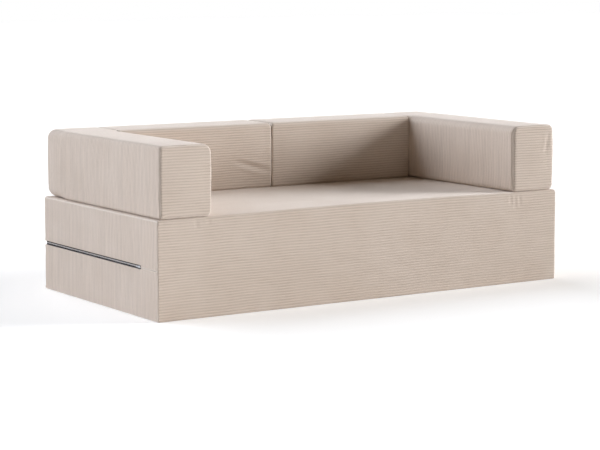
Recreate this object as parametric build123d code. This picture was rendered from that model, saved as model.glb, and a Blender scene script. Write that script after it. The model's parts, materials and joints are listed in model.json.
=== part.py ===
from build123d import *

import os
from dataclasses import dataclass

# Foam sofa bed in millimetres: X along its width, Y from front to back, Z up.
# The origin is on the floor, under the middle of the folded base.
# The base is two foam slabs that fold open about their shared front cloth.
# Two arm bolsters and two back bolsters lie on the upper slab.

# Overall sizes
BASE_WIDTH = 2000.0
BASE_DEPTH = 1000.0
SLAB_HEIGHT = 198.0
BOLSTER_HEIGHT = 283.2

# Gaps between soft pieces
SOFT_GAP = 0.3
FIT_GAP = 0.3
BOLSTER_GAP = 0.7

# Cloth and foam layers
COVER_THICKNESS = 2.5
WADDING_THICKNESS = 12.0
SLEEP_LAYER = 40.0
SEAT_LAYER = 50.0

# Slab form
SLAB_TOP_ROUND = 12.0
SLAB_BOTTOM_ROUND = 8.0
SLAB_FRONT_CORNER = 9.0
SLAB_REAR_CORNER = 20.0
SLAB_SIDE_CROWN = 1.2
SEAT_CROWN = 6.0
SEAT_CROWN_FALL = 160.0
SEAT_CROWN_ROOT = 20.0
SEAT_CROWN_BEND_SHARE = 0.75
PANEL_EDGE = 14.0
BASE_CLOTH_MARGIN = 30.0

# Bolster form
ARM_THICKNESS = 234.0
ARM_SIDE_INSET = 12.0
ARM_FRONT_INSET = 2.0
BOLSTER_REAR_INSET = 4.0
BACK_THICKNESS = 232.0
BOLSTER_TOP_ROUND = 32.0
BOLSTER_BOTTOM_ROUND = 18.0
BOLSTER_REAR_ROUND = 28.0
BOLSTER_FRONT_ROUND = 12.0
BACK_END_ROUND = 18.0
BOLSTER_TOP_CROWN = 4.0
BOLSTER_SIDE_CROWN = 3.0
BOLSTER_END_CROWN = 2.0
BACK_FRONT_CROWN = 5.0
CROWN_LEAD = 0.25

# Hook and loop strips that hold the bolsters
STRIP_THICKNESS = 1.3
STRIP_WIDTH = 40.0
STRIP_OFFSET = 62.0
STRIP_END_MARGIN = 120.0

# Zip: two coil rows on tapes, and the slider that runs on them
TAPE_THICKNESS = 0.7
TAPE_WIDTH = 12.0
ROW_WIDTH = 2.7
ROW_THICKNESS = 2.6
ROW_GAP = 1.0
ROW_BEVEL = 0.8
STOP_LENGTH = 3.0
SLIDER_LENGTH = 11.0
SLIDER_PLATE = 1.0
SLIDER_RUN_GAP = 0.3
SLIDER_FLANGE = 1.0
SLIDER_TAPE_GAP = 0.4
SLIDER_POST_WIDTH = 0.5
SLIDER_POST_LENGTH = 2.6
SLIDER_CORNER = 1.4
BRIDGE_LENGTH = 7.0
BRIDGE_WIDTH = 1.6
BRIDGE_FOOT = 1.2
BRIDGE_OPENING = 1.6
BRIDGE_THICKNESS = 0.9
PULL_LENGTH = 22.0
PULL_WIDTH = 5.0
PULL_THICKNESS = 1.0
PULL_BAR_RADIUS = 0.55
PULL_WINDOW_CLEARANCE = 0.5
PULL_HOLE_RADIUS = 1.2
PULL_END_MARGIN = 3.4
SLOT_GAP = 0.3
BOLSTER_ZIP_MARGIN = 90.0

# Slit round the left, rear and right sides, where the zip joins the two slabs
SLIT_FRONT = 146.0
SLIT_DEPTH = 8.0
SLIT_EDGE_ROUND = 14.0
SLIT_LAND = 1.7
SLIT_END_GAP = 2.0

OVERRUN = 30.0

# Values worked out from the sizes above
FOLD_Z = SLAB_HEIGHT + SOFT_GAP / 2
SEAT_Z = 2 * SLAB_HEIGHT + SOFT_GAP
STRIP_STACK = 2 * STRIP_THICKNESS + SOFT_GAP
BOLSTER_Z = SEAT_Z + STRIP_STACK
HALF_WIDTH = BASE_WIDTH / 2
HALF_DEPTH = BASE_DEPTH / 2
ARM_LENGTH = BASE_DEPTH - ARM_FRONT_INSET - BOLSTER_REAR_INSET
ARM_X = HALF_WIDTH - ARM_SIDE_INSET - ARM_THICKNESS / 2
ARM_Y = (ARM_FRONT_INSET - BOLSTER_REAR_INSET) / 2
BAY_HALF_WIDTH = HALF_WIDTH - ARM_SIDE_INSET - ARM_THICKNESS
BACK_WIDTH = BAY_HALF_WIDTH - BOLSTER_GAP - BOLSTER_GAP / 2
BACK_X = (BACK_WIDTH + BOLSTER_GAP) / 2
BACK_Y = HALF_DEPTH - BOLSTER_REAR_INSET - BACK_THICKNESS / 2
BACK_FRONT_Y = BACK_Y - BACK_THICKNESS / 2
ROW_EDGE = ROW_GAP / 2 + ROW_WIDTH
SLIDER_HALF_WIDTH = ROW_EDGE + SLIDER_RUN_GAP + SLIDER_FLANGE
SLOT_HALF_WIDTH = SLIDER_HALF_WIDTH + SLOT_GAP
FOAM_INSET = COVER_THICKNESS + FIT_GAP

# Distances from a tape's outer face, positive into the cushion
ROW_OUTER = (TAPE_THICKNESS - ROW_THICKNESS) / 2
ROW_INNER = ROW_OUTER + ROW_THICKNESS
PLATE_OUTER = ROW_OUTER - SLIDER_RUN_GAP - SLIDER_PLATE
PLATE_INNER = ROW_INNER + SLIDER_RUN_GAP + SLIDER_PLATE
POCKET_DEPTH = PLATE_INNER + SLOT_GAP


def rounded(radius, inset):
    """Corner radius of a surface that lies inset inside one of the given radius."""
    return max(radius - inset, 0.0)


def crowned_profile(width, height, crowns, radii):
    """Rectangle with bulging sides: crowns left, right, bottom, top; radii from bottom left."""
    left, right, bottom, top = crowns
    corners = [
        Vector(left - width / 2, bottom - height / 2),
        Vector(width / 2 - right, bottom - height / 2),
        Vector(width / 2 - right, height / 2 - top),
        Vector(left - width / 2, height / 2 - top),
    ]
    outward = [
        Vector(0, -bottom),
        Vector(right, 0),
        Vector(0, top),
        Vector(-left, 0),
    ]
    edges = []
    for index, bulge in enumerate(outward):
        start = corners[index]
        end = corners[(index + 1) % len(corners)]
        if bulge.length > 0:
            edges.append(ThreePointArc(start, (start + end) / 2 + bulge, end))
        else:
            edges.append(Line(start, end))
    face = make_face(edges)
    for corner, radius in zip(corners, radii):
        if radius > 0:
            vertex = face.vertices().sort_by_distance(corner)[0]
            face = fillet(vertex, radius)
    return face


@dataclass
class Cushion:
    """A foam block's form: its box, how far each face bulges and how its edges are rounded."""

    size: tuple
    centre: tuple
    side_crowns: tuple
    end_crowns: tuple
    top_crown: float
    top_crown_across: str
    front_radii: tuple
    side_radii: tuple
    plan_radii: tuple

    def solid(self, inset=0.0):
        """The form, or the smaller form that lies inset inside it on every face."""
        width, depth, height = [length - 2 * inset for length in self.size]
        lead = 2 * CROWN_LEAD
        left, right = self.side_crowns
        front, rear = self.end_crowns
        across_x = self.top_crown_across == "x"
        front_top = self.top_crown if across_x else 0.0
        side_top = 0.0 if across_x else self.top_crown
        front_height = height if across_x else height + lead
        side_height = height + lead if across_x else height
        front_view = crowned_profile(
            width,
            front_height,
            (left, right, 0.0, front_top),
            [rounded(radius, inset) for radius in self.front_radii],
        )
        side_view = crowned_profile(
            depth,
            side_height,
            (front, rear, 0.0, side_top),
            [rounded(radius, inset) for radius in self.side_radii],
        )
        plan_view = crowned_profile(
            width + lead,
            depth + lead,
            (0.0, 0.0, 0.0, 0.0),
            [rounded(radius, inset) for radius in self.plan_radii],
        )
        form = extrude(Plane.XZ * front_view, depth / 2 + OVERRUN, both=True)
        form &= extrude(Plane.YZ * side_view, width / 2 + OVERRUN, both=True)
        form &= extrude(Plane.XY * plan_view, height / 2 + OVERRUN, both=True)
        return Pos(*self.centre) * form


def block(x_range, y_range, z_range):
    """Box between the given limits."""
    sizes = [high - low for low, high in (x_range, y_range, z_range)]
    middle = [(high + low) / 2 for low, high in (x_range, y_range, z_range)]
    return Pos(*middle) * Box(*sizes)


def slab_form(lower):
    """One half of the folded base, square along the edges where the halves meet."""
    bottom = SLAB_BOTTOM_ROUND if lower else 0.0
    top = 0.0 if lower else SLAB_TOP_ROUND
    floor = 0.0 if lower else SLAB_HEIGHT + SOFT_GAP
    corner = (SLAB_FRONT_CORNER, SLAB_FRONT_CORNER, SLAB_REAR_CORNER, SLAB_REAR_CORNER)
    return Cushion(
        size=(BASE_WIDTH, BASE_DEPTH, SLAB_HEIGHT),
        centre=(0, 0, floor + SLAB_HEIGHT / 2),
        side_crowns=(SLAB_SIDE_CROWN, SLAB_SIDE_CROWN),
        end_crowns=(0.0, SLAB_SIDE_CROWN),
        top_crown=0.0,
        top_crown_across="x",
        front_radii=(bottom, bottom, top, top),
        side_radii=(bottom, bottom, top, top),
        plan_radii=corner,
    )


def arm_form(side):
    """Arm bolster on the side given as -1 for left or 1 for right."""
    return Cushion(
        size=(ARM_THICKNESS, ARM_LENGTH, BOLSTER_HEIGHT),
        centre=(side * ARM_X, ARM_Y, BOLSTER_Z + BOLSTER_HEIGHT / 2),
        side_crowns=(BOLSTER_SIDE_CROWN, BOLSTER_SIDE_CROWN),
        end_crowns=(BOLSTER_END_CROWN, BOLSTER_END_CROWN),
        top_crown=BOLSTER_TOP_CROWN,
        top_crown_across="x",
        front_radii=(
            BOLSTER_BOTTOM_ROUND,
            BOLSTER_BOTTOM_ROUND,
            BOLSTER_TOP_ROUND,
            BOLSTER_TOP_ROUND,
        ),
        side_radii=(
            BOLSTER_FRONT_ROUND,
            BOLSTER_REAR_ROUND,
            BOLSTER_REAR_ROUND,
            BOLSTER_FRONT_ROUND,
        ),
        plan_radii=(
            BOLSTER_FRONT_ROUND,
            BOLSTER_FRONT_ROUND,
            BOLSTER_REAR_ROUND,
            BOLSTER_REAR_ROUND,
        ),
    )


def back_form(side):
    """Back bolster on the side given as -1 for left or 1 for right."""
    return Cushion(
        size=(BACK_WIDTH, BACK_THICKNESS, BOLSTER_HEIGHT),
        centre=(side * BACK_X, BACK_Y, BOLSTER_Z + BOLSTER_HEIGHT / 2),
        side_crowns=(BOLSTER_END_CROWN, BOLSTER_END_CROWN),
        end_crowns=(BACK_FRONT_CROWN, BOLSTER_END_CROWN),
        top_crown=BOLSTER_TOP_CROWN,
        top_crown_across="y",
        front_radii=(BACK_END_ROUND, BACK_END_ROUND, BACK_END_ROUND, BACK_END_ROUND),
        side_radii=(
            BOLSTER_BOTTOM_ROUND,
            BOLSTER_REAR_ROUND,
            BOLSTER_TOP_ROUND,
            BOLSTER_TOP_ROUND,
        ),
        plan_radii=(BACK_END_ROUND, BACK_END_ROUND, BACK_END_ROUND, BACK_END_ROUND),
    )


def seat_crown(inset):
    """Shallow crown of the seat, between the arms and in front of the back bolsters."""
    base = SEAT_Z - inset - SEAT_CROWN_ROOT
    half = BAY_HALF_WIDTH
    front = inset - HALF_DEPTH
    rear = BACK_FRONT_Y
    top = SEAT_Z - inset
    across = make_face([
        ThreePointArc((-half, top), (0, top + SEAT_CROWN), (half, top)),
        Line((half, top), (half, base)),
        Line((half, base), (-half, base)),
        Line((-half, base), (-half, top)),
    ])
    fall_start = rear - SEAT_CROWN_FALL
    high = top + SEAT_CROWN + CROWN_LEAD
    slope = (rear, top)
    bend = ((fall_start + rear) / 2, top + SEAT_CROWN_BEND_SHARE * (high - top))
    along = make_face([
        Line((front, base), (front, high)),
        Line((front, high), (fall_start, high)),
        ThreePointArc((fall_start, high), bend, slope),
        Line(slope, (rear, base)),
        Line((rear, base), (front, base)),
    ])
    nose = along.vertices().sort_by_distance(Vector(front, high))[0]
    along = fillet(nose, rounded(SLAB_TOP_ROUND, inset))
    crown = extrude(Plane.XZ * across, HALF_DEPTH + OVERRUN, both=True)
    crown &= extrude(Plane.YZ * along, HALF_WIDTH, both=True)
    return crown


def slit_path(front_y, z):
    """Line round the left, rear and right sides of the base, starting at the left front."""
    x = HALF_WIDTH
    y = HALF_DEPTH
    r = SLAB_REAR_CORNER
    bend = r * (1 - 0.5 ** 0.5)
    edges = [
        Line((-x, front_y, z), (-x, y - r, z)),
        ThreePointArc((-x, y - r, z), (bend - x, y - bend, z), (r - x, y, z)),
        Line((r - x, y, z), (x - r, y, z)),
        ThreePointArc((x - r, y, z), (x - bend, y - bend, z), (x, y - r, z)),
        Line((x, y - r, z), (x, front_y, z)),
    ]
    return Wire(edges)


def follow_slit(section, front_y):
    """Sweep a section, drawn as depth into the slab by distance below the fold, round the slit."""
    start = Plane(origin=(-HALF_WIDTH, front_y, FOLD_Z), x_dir=(1, 0, 0), z_dir=(0, 1, 0))
    return sweep(start * section, path=slit_path(front_y, FOLD_Z))


def slit_front(inset=0.0):
    """Where the slit starts on each side."""
    return SLIT_FRONT - HALF_DEPTH - inset


def slit_cut(inset=0.0):
    """Space outside the drawn-in edge of the lower slab, all along the slit."""
    land_foot = SLOT_HALF_WIDTH + SLIT_LAND
    rise = (SLIT_EDGE_ROUND ** 2 - (SLIT_EDGE_ROUND - SLIT_DEPTH) ** 2) ** 0.5
    centre_drop = land_foot + rise
    radius = SLIT_EDGE_ROUND - inset
    land_depth = SLIT_DEPTH + inset
    meet = centre_drop - (radius ** 2 - (SLIT_EDGE_ROUND - land_depth) ** 2) ** 0.5
    middle_depth = (inset + land_depth) / 2
    middle = centre_drop - (radius ** 2 - (SLIT_EDGE_ROUND - middle_depth) ** 2) ** 0.5
    pocket_depth = SLIT_DEPTH - TAPE_THICKNESS + POCKET_DEPTH + inset
    pocket_drop = SLOT_HALF_WIDTH + inset
    outside = -OVERRUN
    edges = [
        Line((outside, centre_drop), (inset, centre_drop)),
        ThreePointArc((inset, centre_drop), (middle_depth, middle), (land_depth, meet)),
        Line((land_depth, meet), (land_depth, pocket_drop)),
        Line((land_depth, pocket_drop), (pocket_depth, pocket_drop)),
        Line((pocket_depth, pocket_drop), (pocket_depth, outside)),
        Line((pocket_depth, outside), (outside, outside)),
        Line((outside, outside), (outside, centre_drop)),
    ]
    return follow_slit(make_face(edges), slit_front(inset))


def over_fold(shape):
    """Mirror image of a piece of the lower slab, in the upper one."""
    return mirror(shape, about=Plane.XY.offset(FOLD_Z))


def lower_slab(inset=0.0):
    """Outer form of the lower slab, or the form that lies inset inside it."""
    return slab_form(True).solid(inset) - slit_cut(inset)


def upper_slab(inset=0.0):
    """Outer form of the upper slab with its seat crown, or the form that lies inset inside it."""
    return slab_form(False).solid(inset) + seat_crown(inset) - over_fold(slit_cut(inset))


def front_window(low, high):
    """Block that parts the front panel from the rest of a cover."""
    reach = HALF_WIDTH - PANEL_EDGE
    return block((-reach, reach), (-HALF_DEPTH - OVERRUN, COVER_THICKNESS - HALF_DEPTH), (low, high))


def base_cloth_window():
    """Block that parts the base cloth from the rest of the lower cover."""
    x = HALF_WIDTH - BASE_CLOTH_MARGIN
    y = HALF_DEPTH - BASE_CLOTH_MARGIN
    return block((-x, x), (-y, y), (0, COVER_THICKNESS))


def lower_half():
    """Foam, covers and cloth of the lower slab."""
    shell = lower_slab() - lower_slab(COVER_THICKNESS)
    foam = lower_slab(FOAM_INSET)
    layer_z = SLAB_HEIGHT - COVER_THICKNESS - SLEEP_LAYER
    everything = BASE_WIDTH
    below = block((-everything, everything), (-everything, everything), (0, layer_z))
    panel = front_window(PANEL_EDGE, FOLD_Z)
    cloth = base_cloth_window()
    return {
        "lower_foam_core": foam & below,
        "lower_sleep_foam": foam - below,
        "lower_front_panel": shell & panel,
        "lower_cover": shell - panel - cloth,
        "lower_base_cloth": cloth,
    }


def upper_half():
    """Foam, covers and cloth of the upper slab."""
    shell = upper_slab() - upper_slab(COVER_THICKNESS)
    foam = upper_slab(FOAM_INSET)
    sleep_z = SLAB_HEIGHT + SOFT_GAP + COVER_THICKNESS + SLEEP_LAYER
    seat_z = SEAT_Z - COVER_THICKNESS - SEAT_LAYER
    everything = BASE_WIDTH
    below = block((-everything, everything), (-everything, everything), (0, sleep_z))
    middle = block((-everything, everything), (-everything, everything), (sleep_z, seat_z))
    above = block((-everything, everything), (-everything, everything), (seat_z, everything))
    panel = front_window(FOLD_Z, SEAT_Z - PANEL_EDGE)
    return {
        "upper_sleep_foam": foam & below,
        "upper_foam_core": foam & middle,
        "seat_foam": foam & above,
        "upper_front_panel": shell & panel,
        "upper_cover": shell - panel,
    }


def bevelled(width, height, bevel):
    """Rectangle with bevelled corners."""
    outline = Rectangle(width, height)
    return chamfer(outline.vertices(), bevel)


def slit_rows(front_left):
    """One coil row of the closing zip, below the fold, with its left end where given."""
    depth = SLIT_DEPTH - TAPE_THICKNESS + ROW_OUTER
    middle = ROW_GAP / 2 + ROW_WIDTH / 2
    section = Pos(depth + ROW_THICKNESS / 2, middle) * bevelled(ROW_THICKNESS, ROW_WIDTH, ROW_BEVEL)
    row = follow_slit(section, row_front())
    spare = block((-BASE_WIDTH, 0), (-BASE_DEPTH, front_left), (0, BASE_WIDTH))
    return row - spare


def row_front():
    """Where the coil rows end at the front, behind their stops."""
    return slit_front() + SLIT_END_GAP + STOP_LENGTH


def upper_row_front():
    """Left end of the upper row, which leaves the parked slider free."""
    return row_front() + SLIDER_LENGTH + STOP_LENGTH + 2 * SLIDER_RUN_GAP


def zip_stop(side, rear_y):
    """Metal stop at the end of a coil row below the fold, in front of the given place."""
    outer = HALF_WIDTH - SLIT_DEPTH + TAPE_THICKNESS - ROW_OUTER
    xs = sorted((side * outer, side * (outer - ROW_THICKNESS)))
    return block(xs, (rear_y - STOP_LENGTH, rear_y), (FOLD_Z - ROW_EDGE, FOLD_Z - ROW_GAP / 2))


def closing_zip():
    """Tapes, coil rows and stops of the zip that holds the two slabs together."""
    tape_drop = SLOT_HALF_WIDTH + SLIT_LAND
    tape_middle = SLIT_DEPTH - TAPE_THICKNESS / 2
    section = Pos(tape_middle, (ROW_EDGE + tape_drop) / 2) * Rectangle(
        TAPE_THICKNESS, tape_drop - ROW_EDGE
    )
    tape = follow_slit(section, slit_front() + SLIT_END_GAP)
    lower_stops = zip_stop(-1, row_front()) + zip_stop(1, row_front())
    upper_stops = zip_stop(-1, upper_row_front()) + zip_stop(1, row_front())
    return {
        "zip_tape_lower": tape,
        "zip_tape_upper": over_fold(tape),
        "zip_row_lower": slit_rows(row_front()),
        "zip_row_upper": over_fold(slit_rows(upper_row_front())),
        "zip_stops_lower": lower_stops,
        "zip_stops_upper": over_fold(upper_stops),
    }


def slider_plate(outer, inner):
    """One plate of a slider between two depths, with rounded corners."""
    outline = bevelled(SLIDER_LENGTH, 2 * SLIDER_HALF_WIDTH, SLIDER_CORNER)
    return Pos(0, 0, -inner) * extrude(outline, inner - outer)


def slider_body():
    """Zip slider: two plates, side flanges and the post that runs between the rows."""
    body = slider_plate(PLATE_OUTER, PLATE_OUTER + SLIDER_PLATE)
    body += slider_plate(PLATE_INNER - SLIDER_PLATE, PLATE_INNER)
    channel = SLIDER_LENGTH / 2 - SLIDER_CORNER
    for side in (-1, 1):
        across = sorted((side * (ROW_EDGE + SLIDER_RUN_GAP), side * SLIDER_HALF_WIDTH))
        body += block((-channel, channel), across, (SLIDER_TAPE_GAP, -PLATE_OUTER))
        rear = -TAPE_THICKNESS - SLIDER_TAPE_GAP
        body += block((-channel, channel), across, (-PLATE_INNER, rear))
    post_start = -channel
    post = (post_start, post_start + SLIDER_POST_LENGTH)
    half_post = SLIDER_POST_WIDTH / 2
    body += block(post, (-half_post, half_post), (-PLATE_INNER, -PLATE_OUTER))
    return body


def slider_bridge():
    """Arch on a slider's outer plate that holds the pull."""
    base = -PLATE_OUTER
    top = base + BRIDGE_OPENING + BRIDGE_THICKNESS
    half = BRIDGE_LENGTH / 2
    arch = make_face([
        Line((-half, base), (half, base)),
        Line((half, base), (half, top)),
        Line((half, top), (-half, top)),
        Line((-half, top), (-half, base)),
    ])
    arch = fillet(arch.vertices().group_by(Axis.Y)[-1], BRIDGE_THICKNESS)
    opening = Pos(0, base + BRIDGE_OPENING / 2) * Rectangle(
        BRIDGE_LENGTH - 2 * BRIDGE_FOOT, BRIDGE_OPENING
    )
    return extrude(Plane.XZ * (arch - opening), BRIDGE_WIDTH / 2, both=True)


def pull_axis_height():
    """Height of the pull's bar above a tape's outer face."""
    return -PLATE_OUTER + BRIDGE_OPENING / 2


def slider_pull():
    """Pull tab with its bar through the bridge and a hole near its free end."""
    window_start = PULL_BAR_RADIUS
    window_end = BRIDGE_LENGTH / 2 + BRIDGE_FOOT + PULL_WINDOW_CLEARANCE
    window_width = BRIDGE_WIDTH + 2 * PULL_WINDOW_CLEARANCE
    outline = Pos(PULL_LENGTH / 2, 0) * RectangleRounded(PULL_LENGTH, PULL_WIDTH, PULL_BAR_RADIUS)
    outline -= Pos((window_start + window_end) / 2, 0) * Rectangle(
        window_end - window_start, window_width
    )
    outline -= Pos(PULL_LENGTH - PULL_END_MARGIN, 0) * Circle(PULL_HOLE_RADIUS)
    outline -= block_face((0, window_start), PULL_WIDTH)
    tab = extrude(outline, PULL_THICKNESS / 2, both=True)
    bar = Rot(90, 0, 0) * Cylinder(PULL_BAR_RADIUS, PULL_WIDTH)
    joint = block(
        (0, window_start + PULL_WINDOW_CLEARANCE),
        (window_width / 2, PULL_WIDTH / 2),
        (-PULL_THICKNESS / 2, PULL_THICKNESS / 2),
    )
    return Pos(0, 0, pull_axis_height()) * (tab + bar + joint + mirror(joint, about=Plane.XZ))


def block_face(x_range, width):
    """Rectangle between two places on X, with the given width."""
    low, high = x_range
    return Pos((low + high) / 2, 0) * Rectangle(high - low, width)


def parked_slider():
    """Frame of the closing zip's slider, parked at the slit's front end on the left side."""
    y = row_front() + SLIDER_RUN_GAP + SLIDER_LENGTH / 2
    x = SLIT_DEPTH - TAPE_THICKNESS - HALF_WIDTH
    return Plane(origin=(x, y, FOLD_Z), x_dir=(0, 1, 0), z_dir=(-1, 0, 0))


def closing_slider():
    """Slider of the closing zip and its pull, which points along the zip to the rear."""
    place = parked_slider().location
    return {
        "zip_slider": place * (slider_body() + slider_bridge()),
        "zip_pull": place * slider_pull(),
    }


def bolster_frame(cushion, along):
    """Frame on the middle of a bolster's underside, with X along it and Z downwards."""
    x, y, z = cushion.centre
    floor = z - cushion.size[2] / 2
    direction = (0, 1, 0) if along == "y" else (1, 0, 0)
    return Plane(origin=(x, y, floor), x_dir=direction, z_dir=(0, 0, -1))


def strip_pair(frame, length, low, high):
    """Two fastening strips along a bolster, between two heights below its underside."""
    half = length / 2 - STRIP_END_MARGIN
    strips = []
    for side in (-1, 1):
        middle = side * STRIP_OFFSET
        across = (middle - STRIP_WIDTH / 2, middle + STRIP_WIDTH / 2)
        strips.append(frame.location * block((-half, half), across, (low, high)))
    return Compound(children=strips)


def bolster_zip(frame, half):
    """Tapes, coil rows and slider of a cover zip in the underside of a bolster."""
    place = frame.location * Pos(0, 0, -COVER_THICKNESS)
    tapes = []
    rows = []
    for side in (-1, 1):
        tape = sorted((side * ROW_EDGE, side * (ROW_EDGE + TAPE_WIDTH)))
        tapes.append(place * block((-half, half), tape, (-TAPE_THICKNESS, 0)))
        middle = side * (ROW_GAP / 2 + ROW_WIDTH / 2)
        depth = ROW_OUTER + ROW_THICKNESS / 2
        section = Pos(middle, -depth) * bevelled(ROW_WIDTH, ROW_THICKNESS, ROW_BEVEL)
        rows.append(place * extrude(Plane.YZ * section, half, both=True))
    rest = place * Pos(SLIDER_LENGTH / 2 + SLIDER_RUN_GAP - half, 0, 0)
    return Compound(children=tapes), Compound(children=rows), rest * slider_body()


def bolster(name, cushion, along):
    """Foam, wadding, cover, cover zip and hook strips of one bolster."""
    length = cushion.size[1] if along == "y" else cushion.size[0]
    frame = bolster_frame(cushion, along)
    half = length / 2 - BOLSTER_ZIP_MARGIN
    slot = block((-half, half), (-SLOT_HALF_WIDTH, SLOT_HALF_WIDTH), (-COVER_THICKNESS, 0))
    reach = half + FIT_GAP
    side = ROW_EDGE + TAPE_WIDTH + FIT_GAP
    floor = -COVER_THICKNESS - POCKET_DEPTH
    pocket = block((-reach, reach), (-side, side), (floor, 0))
    cover = cushion.solid() - cushion.solid(COVER_THICKNESS) - frame.location * slot
    core_inset = COVER_THICKNESS + WADDING_THICKNESS
    wadding = cushion.solid(FOAM_INSET) - cushion.solid(core_inset) - frame.location * pocket
    tapes, rows, slider = bolster_zip(frame, half)
    hooks = strip_pair(frame, length, 0, STRIP_THICKNESS)
    loops_low = STRIP_THICKNESS + SOFT_GAP
    loops = strip_pair(frame, length, loops_low, loops_low + STRIP_THICKNESS)
    return {
        name + "_foam_core": cushion.solid(core_inset + FIT_GAP),
        name + "_wadding": wadding,
        name + "_cover": cover,
        name + "_hook_strips": hooks,
        name + "_zip_tape": tapes,
        name + "_zip_rows": rows,
        name + "_zip_slider": slider,
        name + "_seat_loops": loops,
    }


def sofa():
    """Every piece of the sofa bed by node name."""
    pieces = {}
    pieces.update(lower_half())
    pieces.update(upper_half())
    pieces.update(closing_zip())
    pieces.update(closing_slider())
    pieces.update(bolster("arm_left", arm_form(-1), "y"))
    pieces.update(bolster("arm_right", arm_form(1), "y"))
    pieces.update(bolster("back_left", back_form(-1), "x"))
    pieces.update(bolster("back_right", back_form(1), "x"))
    return pieces


os.makedirs("parts", exist_ok=True)
for node, piece in sofa().items():
    export_step(piece, os.path.join("parts", node + ".step"))
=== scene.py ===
"""Foam sofa bed in wide-rib corduroy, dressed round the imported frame.

Sizes are in metres, +Z is up and the front is towards -Y.
"""

import json
import logging
import math
from collections.abc import Callable, Sequence
from dataclasses import dataclass, field
from enum import Enum
from functools import partial

import bmesh
import bpy
import numpy as np
from mathutils import Euler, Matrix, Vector


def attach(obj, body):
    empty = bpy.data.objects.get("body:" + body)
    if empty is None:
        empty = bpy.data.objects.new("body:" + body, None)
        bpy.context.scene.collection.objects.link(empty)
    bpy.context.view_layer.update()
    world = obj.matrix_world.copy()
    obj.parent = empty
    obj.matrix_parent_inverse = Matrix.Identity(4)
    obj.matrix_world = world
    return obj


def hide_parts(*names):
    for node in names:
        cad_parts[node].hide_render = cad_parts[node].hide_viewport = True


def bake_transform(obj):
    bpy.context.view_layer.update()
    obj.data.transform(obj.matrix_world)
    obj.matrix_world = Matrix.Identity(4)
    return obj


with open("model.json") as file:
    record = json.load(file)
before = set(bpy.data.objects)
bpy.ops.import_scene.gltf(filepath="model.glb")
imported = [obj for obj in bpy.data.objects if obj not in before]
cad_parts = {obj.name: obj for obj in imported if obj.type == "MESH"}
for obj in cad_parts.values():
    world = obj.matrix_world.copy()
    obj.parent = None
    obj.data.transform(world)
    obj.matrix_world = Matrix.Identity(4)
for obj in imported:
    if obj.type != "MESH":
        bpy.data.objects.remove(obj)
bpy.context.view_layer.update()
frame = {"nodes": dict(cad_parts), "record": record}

LOG = logging.getLogger("sofa_bed")

Pair = tuple[float, float]
Place = tuple[float, float, float]
Colour = tuple[float, float, float, float]
Sides = tuple[float, float, float, float]
Moves = Callable[[np.ndarray], np.ndarray]
Stops = Sequence[tuple[float, Colour]]

# Sizes shared with the CAD source, in metres
HALF_WIDTH = 1.0
HALF_DEPTH = 0.5
SLAB_HEIGHT = 0.198
SOFT_GAP = 0.0003
FOLD_Z = SLAB_HEIGHT + SOFT_GAP / 2
SEAT_Z = 2 * SLAB_HEIGHT + SOFT_GAP
BOLSTER_Z = SEAT_Z + 0.0029
ARM_THICKNESS = 0.234
ARM_SIDE_INSET = 0.012
ARM_FRONT_INSET = 0.002
REAR_INSET = 0.004
BACK_THICKNESS = 0.232
BOLSTER_GAP = 0.0007
BAY_HALF_WIDTH = HALF_WIDTH - ARM_SIDE_INSET - ARM_THICKNESS
BACK_FRONT_Y = HALF_DEPTH - REAR_INSET - BACK_THICKNESS
COVER_ZIP_Y = 0.3815
SEAT_CROWN = 0.006
SEAT_CROWN_FALL = 0.16
SLIT_FRONT_Y = 0.146 - HALF_DEPTH
SLIT_DEPTH = 0.008
SLOT_HALF_WIDTH = 0.0048
ROW_DEPTH = 0.00765
REAR_CORNER = 0.020

# Sizes of the cloth alone, measured on the photograph
BOLSTER_TOP = BOLSTER_Z + 0.2847
BACK_SWELL = 0.011
UPPER_SLIT_LAND = 0.0080
UPPER_SLIT_ROUND = 0.004
LOWER_SLIT_LAND = 0.0085
LOWER_SLIT_ROUND = 0.005

# How far past its rounding an edge is squared, and the least rounding of a filling
SQUARED_REACH = 1.2
LEAST_FILLING_ROUND = 0.002

# The slit in the scene: room behind the solids, how far its draw reaches, how its end fades
SLIT_SPARE = 0.0004
SLOT_DEPTH = 0.0032
SLIT_REACH = 0.04
SLIT_END = (0.010, 0.012)

# Corduroy: the ribs, and how they end at a seam
RIB_PITCH = 0.0110
RIB_HEIGHT = 0.0013
RIB_FULLNESS = 0.6
SEAM_LEVEL = 0.6
SEAM_FADE = 0.0035
SEAM_ANGLE = math.radians(50)
LEAST_ROUND = 0.0008


class Way(Enum):
    """Horizontal axis along which a block lies."""

    ALONG_X = 0
    ALONG_Y = 1


class Ribs(Enum):
    """How the ribs of a wrapped cloth run."""

    LENGTHWISE = "lengthwise"
    ROUND = "round"


class CapRibs(Enum):
    """How the ribs of an end panel run."""

    LEVEL = "level"
    UPRIGHT = "upright"


def arithmetic(
    operation: str, swapped: bool = False
) -> Callable[["Value", "Value | float"], "Value"]:
    """Operator for values that adds one Math node.

    Args:
        operation: the node's operation.
        swapped: whether the other number comes first.

    Returns:
        The operator's method.
    """

    def method(self: "Value", other: "Value | float") -> "Value":
        """Result of the Math node."""
        first, second = (other, self) if swapped else (self, other)
        return self.nodes.value("ShaderNodeMath", {"operation": operation}, {0: first, 1: second})

    return method


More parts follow.
